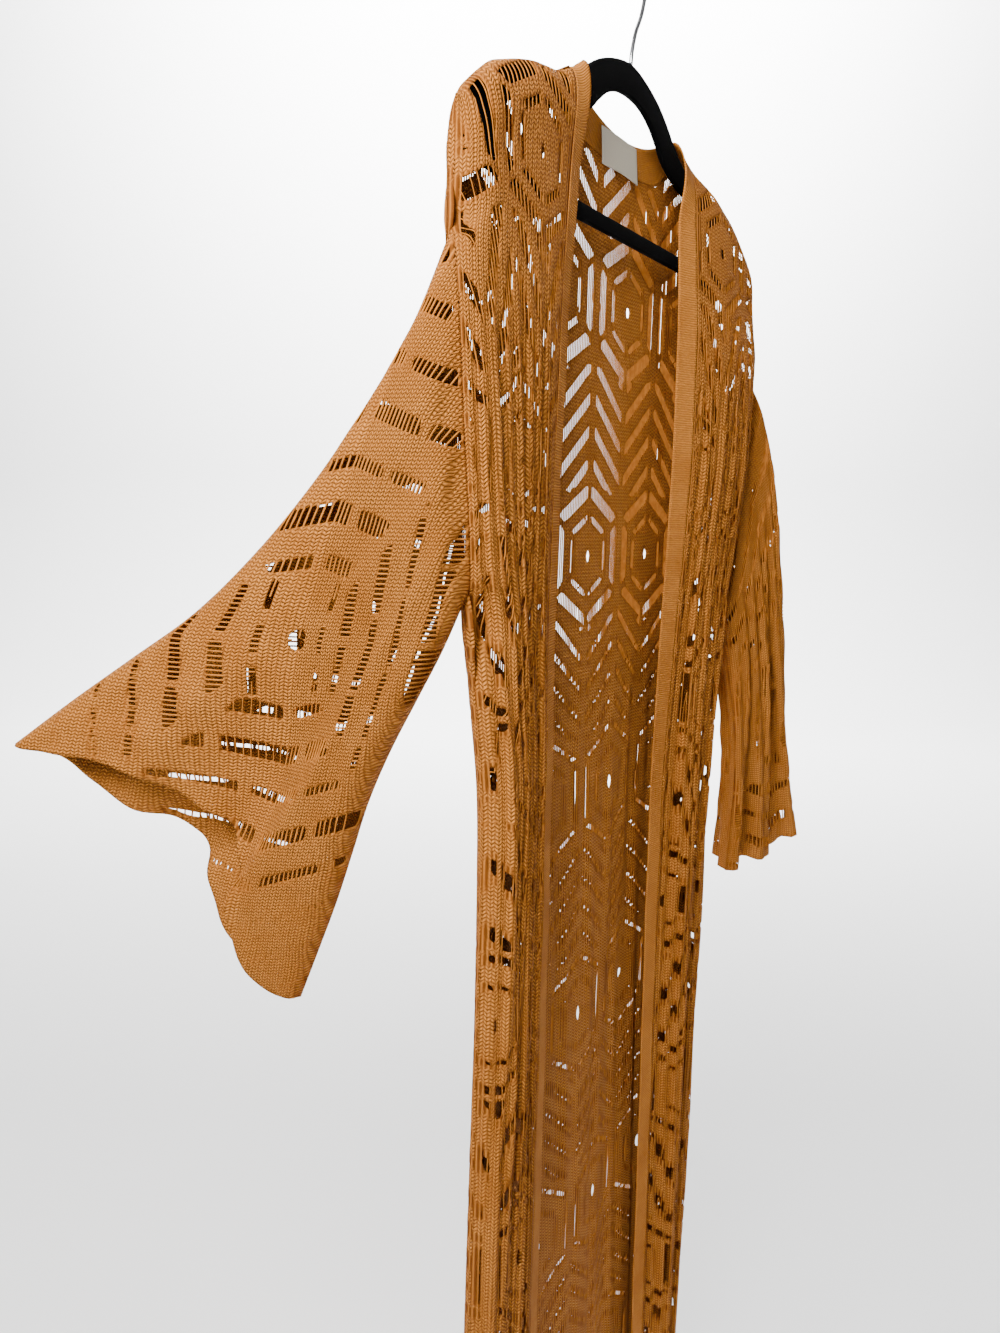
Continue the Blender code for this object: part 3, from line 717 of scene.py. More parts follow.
class Shader:
    """A material's node tree, with short names for what the finishes use."""

    def __init__(self, name: str) -> None:
        """Starts a material.

        Args:
            name: The material's name.
        """
        self.material = bpy.data.materials.new(name)
        self.material.use_nodes = True
        self.tree = self.material.node_tree
        self.surface = self.tree.nodes["Principled BSDF"]

    def node(self, kind: str, **settings: object) -> bpy.types.Node:
        """Adds a node and sets its properties.

        Args:
            kind: Blender's name for the node.
            settings: Its properties by name.

        Returns:
            The node.
        """
        made = self.tree.nodes.new(kind)
        for name, value in settings.items():
            setattr(made, name, value)
        return made

    def link(self, source: bpy.types.NodeSocket, target: bpy.types.NodeSocket) -> None:
        """Joins two sockets."""
        self.tree.links.new(source, target)

    def math(self, operation: str, a: object, b: object = 0.0) -> bpy.types.NodeSocket:
        """A maths node on two sockets or numbers.

        Args:
            operation: Blender's name for it.
            a: First socket or number.
            b: Second socket or number.

        Returns:
            Its output.
        """
        made = self.node("ShaderNodeMath", operation=operation)
        for place, value in enumerate((a, b)):
            if isinstance(value, (int, float)):
                made.inputs[place].default_value = value
            else:
                self.link(value, made.inputs[place])
        return made.outputs[0]

    def mix(self, share: object, a: object, b: object) -> bpy.types.NodeSocket:
        """Mixes two colours.

        Args:
            share: Socket or number that gives the second colour's part.
            a: First colour, as a socket or three numbers.
            b: Second colour, as a socket or three numbers.

        Returns:
            The mixed colour.
        """
        made = self.node("ShaderNodeMix", data_type="RGBA")
        colour_sockets = [socket for socket in made.inputs if socket.type == "RGBA"]
        for socket, value in ((made.inputs[0], share), (colour_sockets[0], a), (colour_sockets[1], b)):
            if isinstance(value, (int, float)):
                socket.default_value = value
            elif isinstance(value, tuple):
                socket.default_value = (*value, 1.0)
            else:
                self.link(value, socket)
        return [socket for socket in made.outputs if socket.type == "RGBA"][0]

    def noise(self, scale: float, detail: float = 2.0) -> bpy.types.NodeSocket:
        """Even noise on the object's own coordinates.

        Args:
            scale: How fine the noise is.
            detail: How many octaves it has.

        Returns:
            The noise, from 0 to 1.
        """
        place = self.node("ShaderNodeTexCoord")
        made = self.node("ShaderNodeTexNoise")
        made.inputs["Scale"].default_value = scale
        made.inputs["Detail"].default_value = detail
        self.link(place.outputs["Object"], made.inputs["Vector"])
        return made.outputs["Fac"]

    def flat_place(self) -> tuple[bpy.types.NodeSocket, bpy.types.NodeSocket]:
        """Millimetres across and down the flat cloth, from its own UV map.

        Returns:
            The two places.
        """
        uv = self.node("ShaderNodeUVMap", uv_map="cloth")
        parts = self.node("ShaderNodeSeparateXYZ")
        self.link(uv.outputs[0], parts.inputs[0])
        across = self.math("MULTIPLY", parts.outputs[0], 1000.0)
        return across, self.math("MULTIPLY", parts.outputs[1], 1000.0)

    def bump(self, height: bpy.types.NodeSocket, distance: float, strength: float = 1.0) -> None:
        """Raises the surface by a height from 0 to 1.

        Args:
            height: The height.
            distance: Metres at height 1.
            strength: Blender's own share.
        """
        made = self.node("ShaderNodeBump")
        made.inputs["Distance"].default_value = distance
        made.inputs["Strength"].default_value = strength
        self.link(height, made.inputs["Height"])
        self.link(made.outputs[0], self.surface.inputs["Normal"])


@dataclass(frozen=True)
class KnitFinish:
    """Matte ochre knit: slanted stitches, ladder threads, slow changes of tone, painted shade in the stitch
    valleys and between drawn-in ladder threads, and painted highlight on the stitch crests.
    """

    name: str
    # light and dark are mixed by the stitch or rib height: painted highlight on the crests and painted shade
    # in the valleys.
    light: tuple[float, float, float] = (0.66, 0.245, 0.043)
    dark: tuple[float, float, float] = (0.085, 0.021, 0.002)
    shade: tuple[float, float, float] = (0.24, 0.066, 0.006)
    # Painted shade for drawn-in ladders, darkest between their threads.
    drawn_in: tuple[float, float, float] = (0.13, 0.034, 0.003)
    stitch_width: float = 2.9
    stitch_height: float = 2.5
    slant: float = 1.1
    thread_pitch: float = 2.7
    ribbed: bool = False
    specular: float = 0.08
    rib_pitch: float = 2.0
    roughness: float = 0.85
    sheen: float = 0.0
    relief: float = 0.0012

    def build(self) -> bpy.types.Material:
        """Makes the material.

        Returns:
            The material.
        """
        shader = Shader(self.name)
        s, t = shader.flat_place()
        stitch = self.ribs(shader, s, t) if self.ribbed else self.stitches(shader, s, t)
        slow = shader.noise(28.0, 3.0)
        fine = shader.noise(420.0, 2.0)
        height = stitch
        if not self.ribbed:
            ladder = shader.node("ShaderNodeAttribute", attribute_name="ladder").outputs["Fac"]
            strands = self.strands(shader, s)
            height = self.blend(shader, ladder, stitch, strands)
        # The stitch, rib and ladder-thread heights set the colour: painted shade in their valleys and painted
        # highlight on their crests, with random tone from the fine noise.
        lit = shader.math("ADD", shader.math("MULTIPLY", height, 0.80), shader.math("MULTIPLY", fine, 0.30))
        tone = shader.mix(lit, self.dark, self.light)
        cloudy = shader.math("SUBTRACT", slow, 0.36)
        tone = shader.mix(shader.math("MAXIMUM", cloudy, 0.0), tone, self.shade)
        if not self.ribbed:
            # Painted shade over the drawn-in ladders, darkest between their threads.
            tone = shader.mix(self.painted_ladder_shade(shader, ladder, strands), tone, self.drawn_in)
        shader.link(tone, shader.surface.inputs["Base Color"])
        shader.surface.inputs["Roughness"].default_value = self.roughness
        shader.surface.inputs["Sheen Weight"].default_value = self.sheen
        shader.surface.inputs["Sheen Roughness"].default_value = 0.5
        shader.surface.inputs["Specular IOR Level"].default_value = self.specular
        shader.bump(shader.math("ADD", height, shader.math("MULTIPLY", fine, 0.35)), self.relief)
        return shader.material

    def blend(self, shader: Shader, share: object, a: object, b: object) -> bpy.types.NodeSocket:
        """A height that is a, or b where share is 1.

        Args:
            shader: The material's node tree.
            share: From 0 to 1.
            a: Height at 0.
            b: Height at 1.

        Returns:
            The height between them.
        """
        other = shader.math("MULTIPLY", b, share)
        rest = shader.math("MULTIPLY", a, shader.math("SUBTRACT", 1.0, share))
        return shader.math("ADD", other, rest)

    def painted_ladder_shade(self, shader: Shader, ladder: object, strands: object) -> bpy.types.NodeSocket:
        """Share of painted shade over a drawn-in ladder, darkest between its threads."""
        between = shader.math("SUBTRACT", 1.05, strands)
        return shader.math("MULTIPLY", shader.math("MULTIPLY", ladder, between), 0.85)

    def stitches(self, shader: Shader, s: object, t: object) -> bpy.types.NodeSocket:
        """Height of slanted stitches, a column of vees to each wale.

        Args:
            shader: The material's node tree.
            s: Millimetres across.
            t: Millimetres down.

        Returns:
            The height, from 0 to 1.
        """
        wale = shader.math("FRACT", shader.math("DIVIDE", s, self.stitch_width))
        side = shader.math("ABSOLUTE", shader.math("SUBTRACT", wale, 0.5))
        climb = shader.math("MULTIPLY", side, self.slant)
        course = shader.math("FRACT", shader.math("ADD", shader.math("DIVIDE", t, self.stitch_height), climb))
        over = shader.math("SINE", shader.math("MULTIPLY", course, math.pi))
        round_off = shader.math("SINE", shader.math("MULTIPLY", shader.math("MULTIPLY", side, 2.0), math.pi))
        round_off = shader.math("ADD", shader.math("MULTIPLY", round_off, 0.75), 0.25)
        return shader.math("MULTIPLY", over, round_off)

    def strands(self, shader: Shader, s: object) -> bpy.types.NodeSocket:
        """Height of the lengthwise threads in a drawn-in ladder.

        Args:
            shader: The material's node tree.
            s: Millimetres across.

        Returns:
            The height, from 0 to 1.
        """
        turn = shader.math("MULTIPLY", s, 2 * math.pi / self.thread_pitch)
        wave = shader.math("ADD", shader.math("MULTIPLY", shader.math("COSINE", turn), 0.5), 0.5)
        return shader.math("MULTIPLY", wave, 0.75)

    def ribs(self, shader: Shader, s: object, t: object) -> bpy.types.NodeSocket:
        """Height of fine ribs across a band.

        Args:
            shader: The material's node tree.
            s: Millimetres across.
            t: Millimetres down.

        Returns:
            The height, from 0 to 1.
        """
        turn = shader.math("MULTIPLY", t, 2 * math.pi / self.rib_pitch)
        wave = shader.math("ADD", shader.math("MULTIPLY", shader.math("SINE", turn), 0.22), 0.62)
        across = shader.math("MULTIPLY", s, 2 * math.pi / 1.4)
        grain = shader.math("MULTIPLY", shader.math("SINE", across), 0.10)
        return shader.math("ADD", wave, grain)


@dataclass(frozen=True)
class YarnFinish:
    """Loose yarn of the ladder threads and seam stitches."""

    name: str
    light: tuple[float, float, float] = (0.60, 0.22, 0.038)
    dark: tuple[float, float, float] = (0.22, 0.064, 0.006)

    def build(self) -> bpy.types.Material:
        """Makes the material.

        Returns:
            The material.
        """
        shader = Shader(self.name)
        tone = shader.mix(shader.noise(160.0, 2.0), self.dark, self.light)
        shader.link(tone, shader.surface.inputs["Base Color"])
        shader.surface.inputs["Roughness"].default_value = 0.85
        shader.surface.inputs["Specular IOR Level"].default_value = 0.08
        return shader.material


@dataclass(frozen=True)
class FlockFinish:
    """Black velvet flock with a soft sheen and worn paler specks."""

    name: str = "black_flock"
    pile: tuple[float, float, float] = (0.0006, 0.0006, 0.0007)
    worn: tuple[float, float, float] = (0.004, 0.0038, 0.004)

    def build(self) -> bpy.types.Material:
        """Makes the material.

        Returns:
            The material.
        """
        shader = Shader(self.name)
        specks = shader.noise(900.0, 2.0)
        tone = shader.mix(shader.math("MULTIPLY", specks, 0.5), self.pile, self.worn)
        shader.link(tone, shader.surface.inputs["Base Color"])
        shader.surface.inputs["Roughness"].default_value = 0.95
        shader.surface.inputs["Sheen Weight"].default_value = 0.01
        shader.surface.inputs["Sheen Roughness"].default_value = 0.4
        shader.surface.inputs["Specular IOR Level"].default_value = 0.03
        shader.bump(shader.noise(2600.0, 1.0), 0.0002, 0.5)
        return shader.material


@dataclass(frozen=True)
class WireFinish:
    """Drawn steel wire with a bright plating."""

    name: str = "chromed_wire"
    colour: tuple[float, float, float] = (0.62, 0.62, 0.64)

    def build(self) -> bpy.types.Material:
        """Makes the material.

        Returns:
            The material.
        """
        shader = Shader(self.name)
        shader.surface.inputs["Base Color"].default_value = (*self.colour, 1.0)
        shader.surface.inputs["Metallic"].default_value = 1.0
        haze = shader.math("ADD", shader.math("MULTIPLY", shader.noise(240.0, 3.0), 0.14), 0.16)
        shader.link(haze, shader.surface.inputs["Roughness"])
        return shader.material


@dataclass(frozen=True)
class LabelFinish:
    """Off-white woven tape, bare, with painted shade in the hollows of its weave."""

    name: str = "woven_label"
    light: tuple[float, float, float] = (0.62, 0.56, 0.45)
    dark: tuple[float, float, float] = (0.36, 0.31, 0.23)
    pick: float = 0.7

    def build(self) -> bpy.types.Material:
        """Makes the material.

        Returns:
            The material.
        """
        shader = Shader(self.name)
        s, t = shader.flat_place()
        warp = shader.math("SINE", shader.math("MULTIPLY", s, 2 * math.pi / self.pick))
        weft = shader.math("SINE", shader.math("MULTIPLY", t, 2 * math.pi / self.pick))
        weave = shader.math("ADD", shader.math("MULTIPLY", shader.math("MULTIPLY", warp, weft), 0.5), 0.5)
        # The weave height sets the colour: painted shade in its hollows and painted highlight on its raised
        # threads.
        tone = shader.mix(shader.math("MULTIPLY", weave, 0.8), self.dark, self.light)
        shader.link(tone, shader.surface.inputs["Base Color"])
        shader.surface.inputs["Roughness"].default_value = 0.75
        shader.bump(weave, 0.0002, 0.6)
        return shader.material


# Meshes


@dataclass
class MeshData:
    """Points in millimetres, faces, and what each point carries."""

    points: np.ndarray
    faces: list
    places: np.ndarray
    ladder: np.ndarray


def add_mesh(name: str, data: MeshData, material: bpy.types.Material) -> bpy.types.Object:
    """Makes an object whose place is in its mesh.

    Args:
        name: The object's name.
        data: Its points, faces, flat places and ladder share.
        material: Its finish.

    Returns:
        The new object.
    """
    mesh = bpy.data.meshes.new(name)
    mesh.from_pydata(to_frame(data.points).tolist(), [], data.faces)
    layer = mesh.uv_layers.new(name="cloth")
    corner_points = np.zeros(len(mesh.loops), dtype=np.int64)
    mesh.loops.foreach_get("vertex_index", corner_points)
    layer.data.foreach_set("uv", (data.places[corner_points] * MM).ravel())
    share = mesh.attributes.new("ladder", "FLOAT", "POINT")
    share.data.foreach_set("value", data.ladder.astype(np.float32))
    mesh.materials.append(material)
    mesh.shade_smooth()
    obj = bpy.data.objects.new(name, mesh)
    bpy.context.scene.collection.objects.link(obj)
    return obj


def surface_normals(grid: Grid) -> np.ndarray:
    """Unit normals of a fine grid, on the side that its rows and columns turn to."""
    normal = np.cross(np.gradient(grid, axis=1), np.gradient(grid, axis=0))
    return -normal / np.maximum(np.linalg.norm(normal, axis=-1, keepdims=True), 1e-9)


@dataclass
class FineCloth:
    """A cloth piece on a fine grid: its middle surface, normals and flat places."""

    middle: Grid
    normals: Grid
    across: Grid
    down: Grid

    @staticmethod
    def from_grid(coarse: Grid, cell: float) -> "FineCloth":
        """Resamples a coarse grid into nearly square cells.

        Args:
            coarse: Rows down and columns across, with outward faces.
            cell: Side of a cell.

        Returns:
            The fine cloth, its flat places measured from its first corner.
        """
        down = np.linalg.norm(np.diff(coarse, axis=0), axis=-1).mean(axis=1)
        knots_down = np.concatenate([[0], np.cumsum(down)])
        across = np.linalg.norm(np.diff(coarse, axis=1), axis=-1).mean(axis=0)
        knots_across = np.concatenate([[0], np.cumsum(across)])
        rows = np.linspace(0, knots_down[-1], max(3, int(knots_down[-1] / cell) + 1))
        columns = np.linspace(0, knots_across[-1], max(3, int(knots_across[-1] / cell) + 1))
        fine = refine(coarse, knots_down, rows)
        fine = refine(fine.transpose(1, 0, 2), knots_across, columns).transpose(1, 0, 2)
        s, t = np.meshgrid(columns, rows)
        return FineCloth(fine, surface_normals(fine), s, t)

    def measure(self, reading: Grid) -> tuple[float, float, float, float]:
        """Widest and longest in millimetres, area in square metres, and the share that is cloth.

        Args:
            reading: Above 0 in cloth and below 0 in a gap.

        Returns:
            Width, length, area of the uncut surface, and the share of it that the gaps leave.
        """
        width = np.linalg.norm(np.diff(self.middle, axis=1), axis=-1).sum(axis=1).max()
        length = np.linalg.norm(np.diff(self.middle, axis=0), axis=-1).sum(axis=0).max()
        a, b = self.middle[1:, 1:] - self.middle[:-1, :-1], self.middle[1:, :-1] - self.middle[:-1, 1:]
        cells = np.linalg.norm(np.cross(a, b), axis=-1) / 2
        solid = (reading > 0).astype(float)
        kept = (solid[:-1, :-1] + solid[:-1, 1:] + solid[1:, 1:] + solid[1:, :-1]) / 4
        area = float(cells.sum()) * MM**2
        return float(width), float(length), area, float((cells * kept).sum() / cells.sum())

    def lift(self, height: Grid) -> None:
        """Moves the surface out along its normals, and works the normals out again."""
        self.middle = self.middle + self.normals * height[..., None]
        self.normals = surface_normals(self.middle)


def cut_shell(cloth: FineCloth, reading: np.ndarray, ladder: np.ndarray, thickness: float) -> MeshData:
    """A closed thin shell about a cloth, open where the reading is below 0.

    Args:
        cloth: The fine cloth.
        reading: Above 0 in cloth and below 0 in a gap, at each point of the grid.
        ladder: The ladder share at each point.
        thickness: The wall.

    Returns:
        The shell's mesh.
    """
    rows, columns = reading.shape
    solid = reading > 0
    ids = np.arange(rows * columns).reshape(rows, columns)
    known = [cloth.middle, cloth.normals, np.stack([cloth.across, cloth.down, ladder], -1)]
    flat = [k.reshape(-1, k.shape[-1]) for k in known]

    def crossings(a: tuple, b: tuple, start: int) -> tuple[np.ndarray, list]:
        """Where the cloth's edge crosses the lines between neighbouring points.

        Args:
            a: Which points the lines start at.
            b: Which points they end at.
            start: Number of the first new point.

        Returns:
            Number of the new point on each line, or -1, and what the new points carry.
        """
        ga, gb = reading[a], reading[b]
        cut = solid[a] != solid[b]
        share = np.clip(ga[cut] / (ga[cut] - gb[cut]), 0.12, 0.88)[:, None]
        numbers = np.full(cut.shape, -1)
        numbers[cut] = start + np.arange(int(cut.sum()))
        return numbers, [k[a][cut] * (1 - share) + k[b][cut] * share for k in known]

    all_rows, all_columns = slice(None), slice(None)
    side, side_values = crossings((all_rows, slice(0, -1)), (all_rows, slice(1, None)), rows * columns)
    below, below_values = crossings(
        (slice(0, -1), all_columns), (slice(1, None), all_columns), rows * columns + len(side_values[0])
    )
    middle, normal, carried = (np.vstack([f, s, b]) for f, s, b in zip(flat, side_values, below_values))
    normal = normal / np.maximum(np.linalg.norm(normal, axis=1, keepdims=True), 1e-9)

    corners = np.stack([ids[:-1, :-1], ids[:-1, 1:], ids[1:, 1:], ids[1:, :-1]], -1)
    inside = np.stack([solid[:-1, :-1], solid[:-1, 1:], solid[1:, 1:], solid[1:, :-1]], -1)
    full = inside.all(-1)
    quads = corners[full]
    mixed = inside.any(-1) & ~full
    edges = np.stack([side[:-1], below[:, 1:], side[1:], below[:, :-1]], -1)
    polygons = []
    for corner, keep, edge in zip(corners[mixed].tolist(), inside[mixed].tolist(), edges[mixed].tolist()):
        polygon = []
        for k in range(4):
            if keep[k]:
                polygon.append(corner[k])
            if keep[k] != keep[(k + 1) % 4]:
                polygon.append(edge[k])
        polygons.append(polygon)

    starts = [quads[:, k] for k in range(4)] + [np.array([v for p in polygons for v in p], dtype=np.int64)]
    ends = [quads[:, (k + 1) % 4] for k in range(4)]
    ends.append(np.array([v for p in polygons for v in p[1:] + p[:1]], dtype=np.int64))
    starts, ends = np.concatenate(starts), np.concatenate(ends)
    count = len(middle)
    rim = ~np.isin(ends * count + starts, starts * count + ends)
    walls = np.stack([ends[rim], starts[rim], starts[rim] + count, ends[rim] + count], -1)

    half = np.full(count, thickness / 2)
    half[rows * columns:] *= 0.55
    outer, inner = middle + normal * half[:, None], middle - normal * half[:, None]
    faces = quads.tolist() + polygons + [[v + count for v in f[::-1]] for f in quads.tolist() + polygons]
    faces += walls.tolist()
    used = np.unique(np.concatenate([np.concatenate([starts, starts + count])]))
    renumber = np.full(2 * count, -1)
    renumber[used] = np.arange(len(used))
    lookup = renumber.tolist()
    faces = [[lookup[v] for v in f] for f in faces]
    carried = np.vstack([carried, carried])[used]
    return MeshData(np.vstack([outer, inner])[used], faces, carried[:, :2], carried[:, 2])


def thread_lines(cloth: FineCloth, reading: np.ndarray, threads: np.ndarray) -> tuple[np.ndarray, np.ndarray]:
    """Threads across the gaps, along the lines where the thread count is whole.

    Args:
        cloth: The fine cloth.
        reading: Below 0 in a gap.
        threads: Thread number at each point, or not a number where none runs.

    Returns:
        Points, and pairs of them that are joined.
    """
    def cells(a: np.ndarray) -> np.ndarray:
        """The four corner values of every cell, the last axis going round it."""
        return np.stack([a[:-1, :-1], a[:-1, 1:], a[1:, 1:], a[1:, :-1]], -1)

    gap = (cells(reading) < 0).any(-1)
    counts = cells(threads)
    low, high = counts.min(-1), counts.max(-1)
    with np.errstate(invalid="ignore"):
        wanted = gap & (np.floor(high) > np.floor(low)) & (high - low < 6)
    points: list = []
    number: dict = {}
    pairs: list = []
    rows, columns = np.nonzero(wanted)
    near, far = cloth.middle[:-1], cloth.middle[1:]
    corner_points = [near[:, :-1], near[:, 1:], far[:, 1:], far[:, :-1]]
    for r, c in zip(rows.tolist(), columns.tolist()):
        values = counts[r, c]
        places = [p[r, c] for p in corner_points]
        keys = ((r, c, 0), (r, c + 1, 1), (r + 1, c, 0), (r, c, 1))
        for whole in range(int(math.floor(low[r, c])) + 1, int(math.floor(high[r, c])) + 1):
            met = []
            for k in range(4):
                a, b = values[k] - whole, values[(k + 1) % 4] - whole
                if (a > 0) != (b > 0):
                    key = (*keys[k], whole)
                    if key not in number:
                        number[key] = len(points)
                        share = a / (a - b)
                        points.append(places[k] * (1 - share) + places[(k + 1) % 4] * share)
                    met.append(number[key])
            if len(met) == 2:
                pairs.append(met)
    return np.array(points).reshape(-1, 3), np.array(pairs, dtype=np.int64).reshape(-1, 2)


# Geometry Nodes


@dataclass(frozen=True)
class YarnTree:
    """A node tree that turns joined points into round yarn."""

    radius: float = 0.00078
    sides: int = 3

    def tree(self, material: bpy.types.Material) -> bpy.types.NodeTree:
        """Builds the tree.

        Args:
            material: The yarn's finish.

        Returns:
            A tree with inputs for the yarn's radius and number of sides.
        """
        tree = bpy.data.node_groups.new("yarn", "GeometryNodeTree")
        tree.interface.new_socket("Geometry", in_out="INPUT", socket_type="NodeSocketGeometry")
        tree.interface.new_socket("Yarn Radius", in_out="INPUT", socket_type="NodeSocketFloat")
        tree.interface.new_socket("Yarn Sides", in_out="INPUT", socket_type="NodeSocketInt")
        tree.interface.new_socket("Geometry", in_out="OUTPUT", socket_type="NodeSocketGeometry")
        start = tree.nodes.new("NodeGroupInput")
        end = tree.nodes.new("NodeGroupOutput")
        to_curve = tree.nodes.new("GeometryNodeMeshToCurve")
        ring = tree.nodes.new("GeometryNodeCurvePrimitiveCircle")
        sweep = tree.nodes.new("GeometryNodeCurveToMesh")
        sweep.inputs["Fill Caps"].default_value = True
        real = tree.nodes.new("GeometryNodeRealizeInstances")
        dress = tree.nodes.new("GeometryNodeSetMaterial")
        dress.inputs["Material"].default_value = material
        for a, b in (
            (start.outputs["Geometry"], to_curve.inputs["Mesh"]),
            (start.outputs["Yarn Radius"], ring.inputs["Radius"]),
            (start.outputs["Yarn Sides"], ring.inputs["Resolution"]),
            (to_curve.outputs["Curve"], sweep.inputs["Curve"]),
            (ring.outputs["Curve"], sweep.inputs["Profile Curve"]),
            (sweep.outputs["Mesh"], real.inputs["Geometry"]),
            (real.outputs["Geometry"], dress.inputs["Geometry"]),
            (dress.outputs["Geometry"], end.inputs["Geometry"]),
        ):
            tree.links.new(a, b)
        return tree

    def build(
        self, name: str, points: np.ndarray, pairs: np.ndarray, material: bpy.types.Material
    ) -> bpy.types.Object:
        """Makes yarn along joined points, as a plain mesh.

        Args:
            name: The object's name.
            points: Millimetres.
            pairs: Which points are joined.
            material: The yarn's finish.

        Returns:
            The new object.
        """
        mesh = bpy.data.meshes.new(name)
        mesh.from_pydata(to_frame(points).tolist(), pairs.tolist(), [])
        obj = bpy.data.objects.new(name, mesh)
        bpy.context.scene.collection.objects.link(obj)
        modifier = obj.modifiers.new("yarn", "NODES")
        modifier.node_group = self.tree(material)
        sockets = {item.name: item.identifier for item in modifier.node_group.interface.items_tree
                   if item.in_out == "INPUT"}
        modifier[sockets["Yarn Radius"]] = self.radius
        modifier[sockets["Yarn Sides"]] = self.sides
        return as_plain_mesh(obj)


def as_plain_mesh(obj: bpy.types.Object) -> bpy.types.Object:
    """Replaces an object's mesh with what its modifiers make, and removes them.

    Args:
        obj: The object.

    Returns:
        The same object.
    """
    bpy.context.view_layer.update()
    graph = bpy.context.evaluated_depsgraph_get()
    mesh = bpy.data.meshes.new_from_object(obj.evaluated_get(graph))
    obj.modifiers.clear()
    obj.data = mesh
    mesh.shade_smooth()
    return obj


# The garment's pieces


@dataclass
class LacePanel:
    """One panel of ladder lace, with its threads."""

    node: str
    coarse: Grid
    lace: ChevronLace | RingLace
    flat: tuple[float, float]
    held: str
    rests_on: tuple[str, ...]
    cell: float = 3.8
    thickness: float = 1.1
    cut_area: float = 0.1
    yarn_radius: float = 0.00055
    wales_follow_lace: bool = False

    def places(self, cloth: FineCloth) -> tuple[np.ndarray, np.ndarray, np.ndarray]:
        """Where each point lies in the lace, and how far the lace is open there."""
        raise NotImplementedError

    def ripple(self, cloth: FineCloth) -> np.ndarray:
        """Height of the small ridges that gathering leaves."""
        return np.zeros_like(cloth.across)

    def build(self, knit: bpy.types.Material, yarn: bpy.types.Material) -> list[bpy.types.Object]:
        """Builds the panel and its threads.

        Args:
            knit: The cloth's finish.
            yarn: The threads' finish.

        Returns:
            The panel, then its threads.
        """
        cloth = FineCloth.from_grid(self.coarse, self.cell)
        cloth.lift(self.ripple(cloth))
        s, t, ease = self.places(cloth)
        reading = self.lace.read(s, t, ease)
        margin = np.minimum.reduce([
            cloth.across - cloth.across.min(), cloth.across.max() - cloth.across,
            cloth.down - cloth.down.min(), cloth.down.max() - cloth.down,
        ])
        open_cloth = np.maximum(reading.cloth, 5.0 - margin)
        if self.wales_follow_lace:
            cloth.across, cloth.down = s, t
        data = cut_shell(cloth, open_cloth, reading.ladder, self.thickness)
        panel = add_mesh(self.node + "_cloth", data, knit)
        joined, pairs, count = [], [], 0
        for threads in (reading.lengthwise, reading.crosswise):
            points, links = thread_lines(cloth, open_cloth, threads)
            joined.append(points)
            pairs.append(links + count)
            count += len(points)
        made = [panel]
        if count:
            tree, name = YarnTree(self.yarn_radius), self.node + "_threads"
            made.append(tree.build(name, np.vstack(joined), np.vstack(pairs), yarn))
        for piece in made:
            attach(piece, "root")
        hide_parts(self.node)
        width, length, area, share = cloth.measure(open_cloth)
        log.info("%s: %d faces, surface %.0f by %.0f mm, %.4f square metres, %.2f of it cloth",
                 self.node, len(data.faces), width, length, area, share)
        return made


@dataclass
class BackPanel(LacePanel):
    """The back, spread over the hanger and drawn in below it."""

    medallion: tuple[float, float] = (37.0, -180.0)
    drawn_in: tuple[float, float] = (450.0, 800.0)
    closing: tuple[float, float] = (380.0, 520.0)
    ribbed: tuple[float, float] = (300.0, 600.0)

    def places(self, cloth: FineCloth) -> tuple[np.ndarray, np.ndarray, np.ndarray]:
        """Where each point lies in the lace, and how far the lace is open there.

        Args:
            cloth: The fine cloth.

        Returns:
            Millimetres across and down the lace, and 1 where it is open.
        """
        z = cloth.middle[..., 2]
        spread = 1.0 + 0.15 * smoothstep(*self.drawn_in, -z)
        s = (cloth.middle[..., 0] - self.medallion[0]) * spread
        ease = 1.0 - 0.62 * smoothstep(*self.closing, -z)
        return s, self.medallion[1] - z, ease

    def ripple(self, cloth: FineCloth) -> np.ndarray:
        """Height of the small ridges that gathering leaves.

        Args:
            cloth: The fine cloth.

        Returns:
            Millimetres out from the surface.
        """
        s, t = cloth.across, cloth.down
        grown = smoothstep(*self.ribbed, t)
        return grown * (0.9 * np.sin(s / 5.2 + 1.3 * np.sin(t / 170.0)) + 0.6 * np.sin(s / 3.1 + t / 90.0))


@dataclass
class FrontPanel(LacePanel):
    """A front, spread at the shoulder and gathered into ribs below."""

    side: Side = Side.RIGHT
    medallion: tuple[float, float] = (150.0, -112.0)
    drawn_in: tuple[float, float] = (90.0, 330.0)
    closing: tuple[float, float] = (150.0, 330.0)
    ribbed: tuple[float, float] = (90.0, 260.0)

    def places(self, cloth: FineCloth) -> tuple[np.ndarray, np.ndarray, np.ndarray]:
        """Where each point lies in the lace, and how far the lace is open there.

        Args:
            cloth: The fine cloth.

        Returns:
            Millimetres across and down the lace, and 1 where it is open.
        """
        z = cloth.middle[..., 2]
        gathered = 1.0 + 0.95 * smoothstep(*self.drawn_in, -z)
        across = np.abs(cloth.middle[..., 0]) - self.medallion[0]
        ease = 1.0 - 0.48 * smoothstep(*self.closing, -z)
        return across * gathered, self.medallion[1] - z, ease

    def ripple(self, cloth: FineCloth) -> np.ndarray:
        """Height of the small ridges that gathering leaves.

        Args:
            cloth: The fine cloth.

        Returns:
            Millimetres out from the surface.
        """
        s, t = cloth.across, cloth.down
        inside = smoothstep(0.0, 24.0, s) * smoothstep(0.0, 8.0, s.max() - s)
        grown = smoothstep(*self.ribbed, t) * inside
        drift = 2.2 * np.sin(t / 210.0 + self.side.value) + 0.8 * np.sin(t / 75.0)
        return grown * (2.0 * np.sin(s / 1.9 + drift) + 1.2 * np.sin(s / 3.7 - 0.7 * drift + t / 240.0))


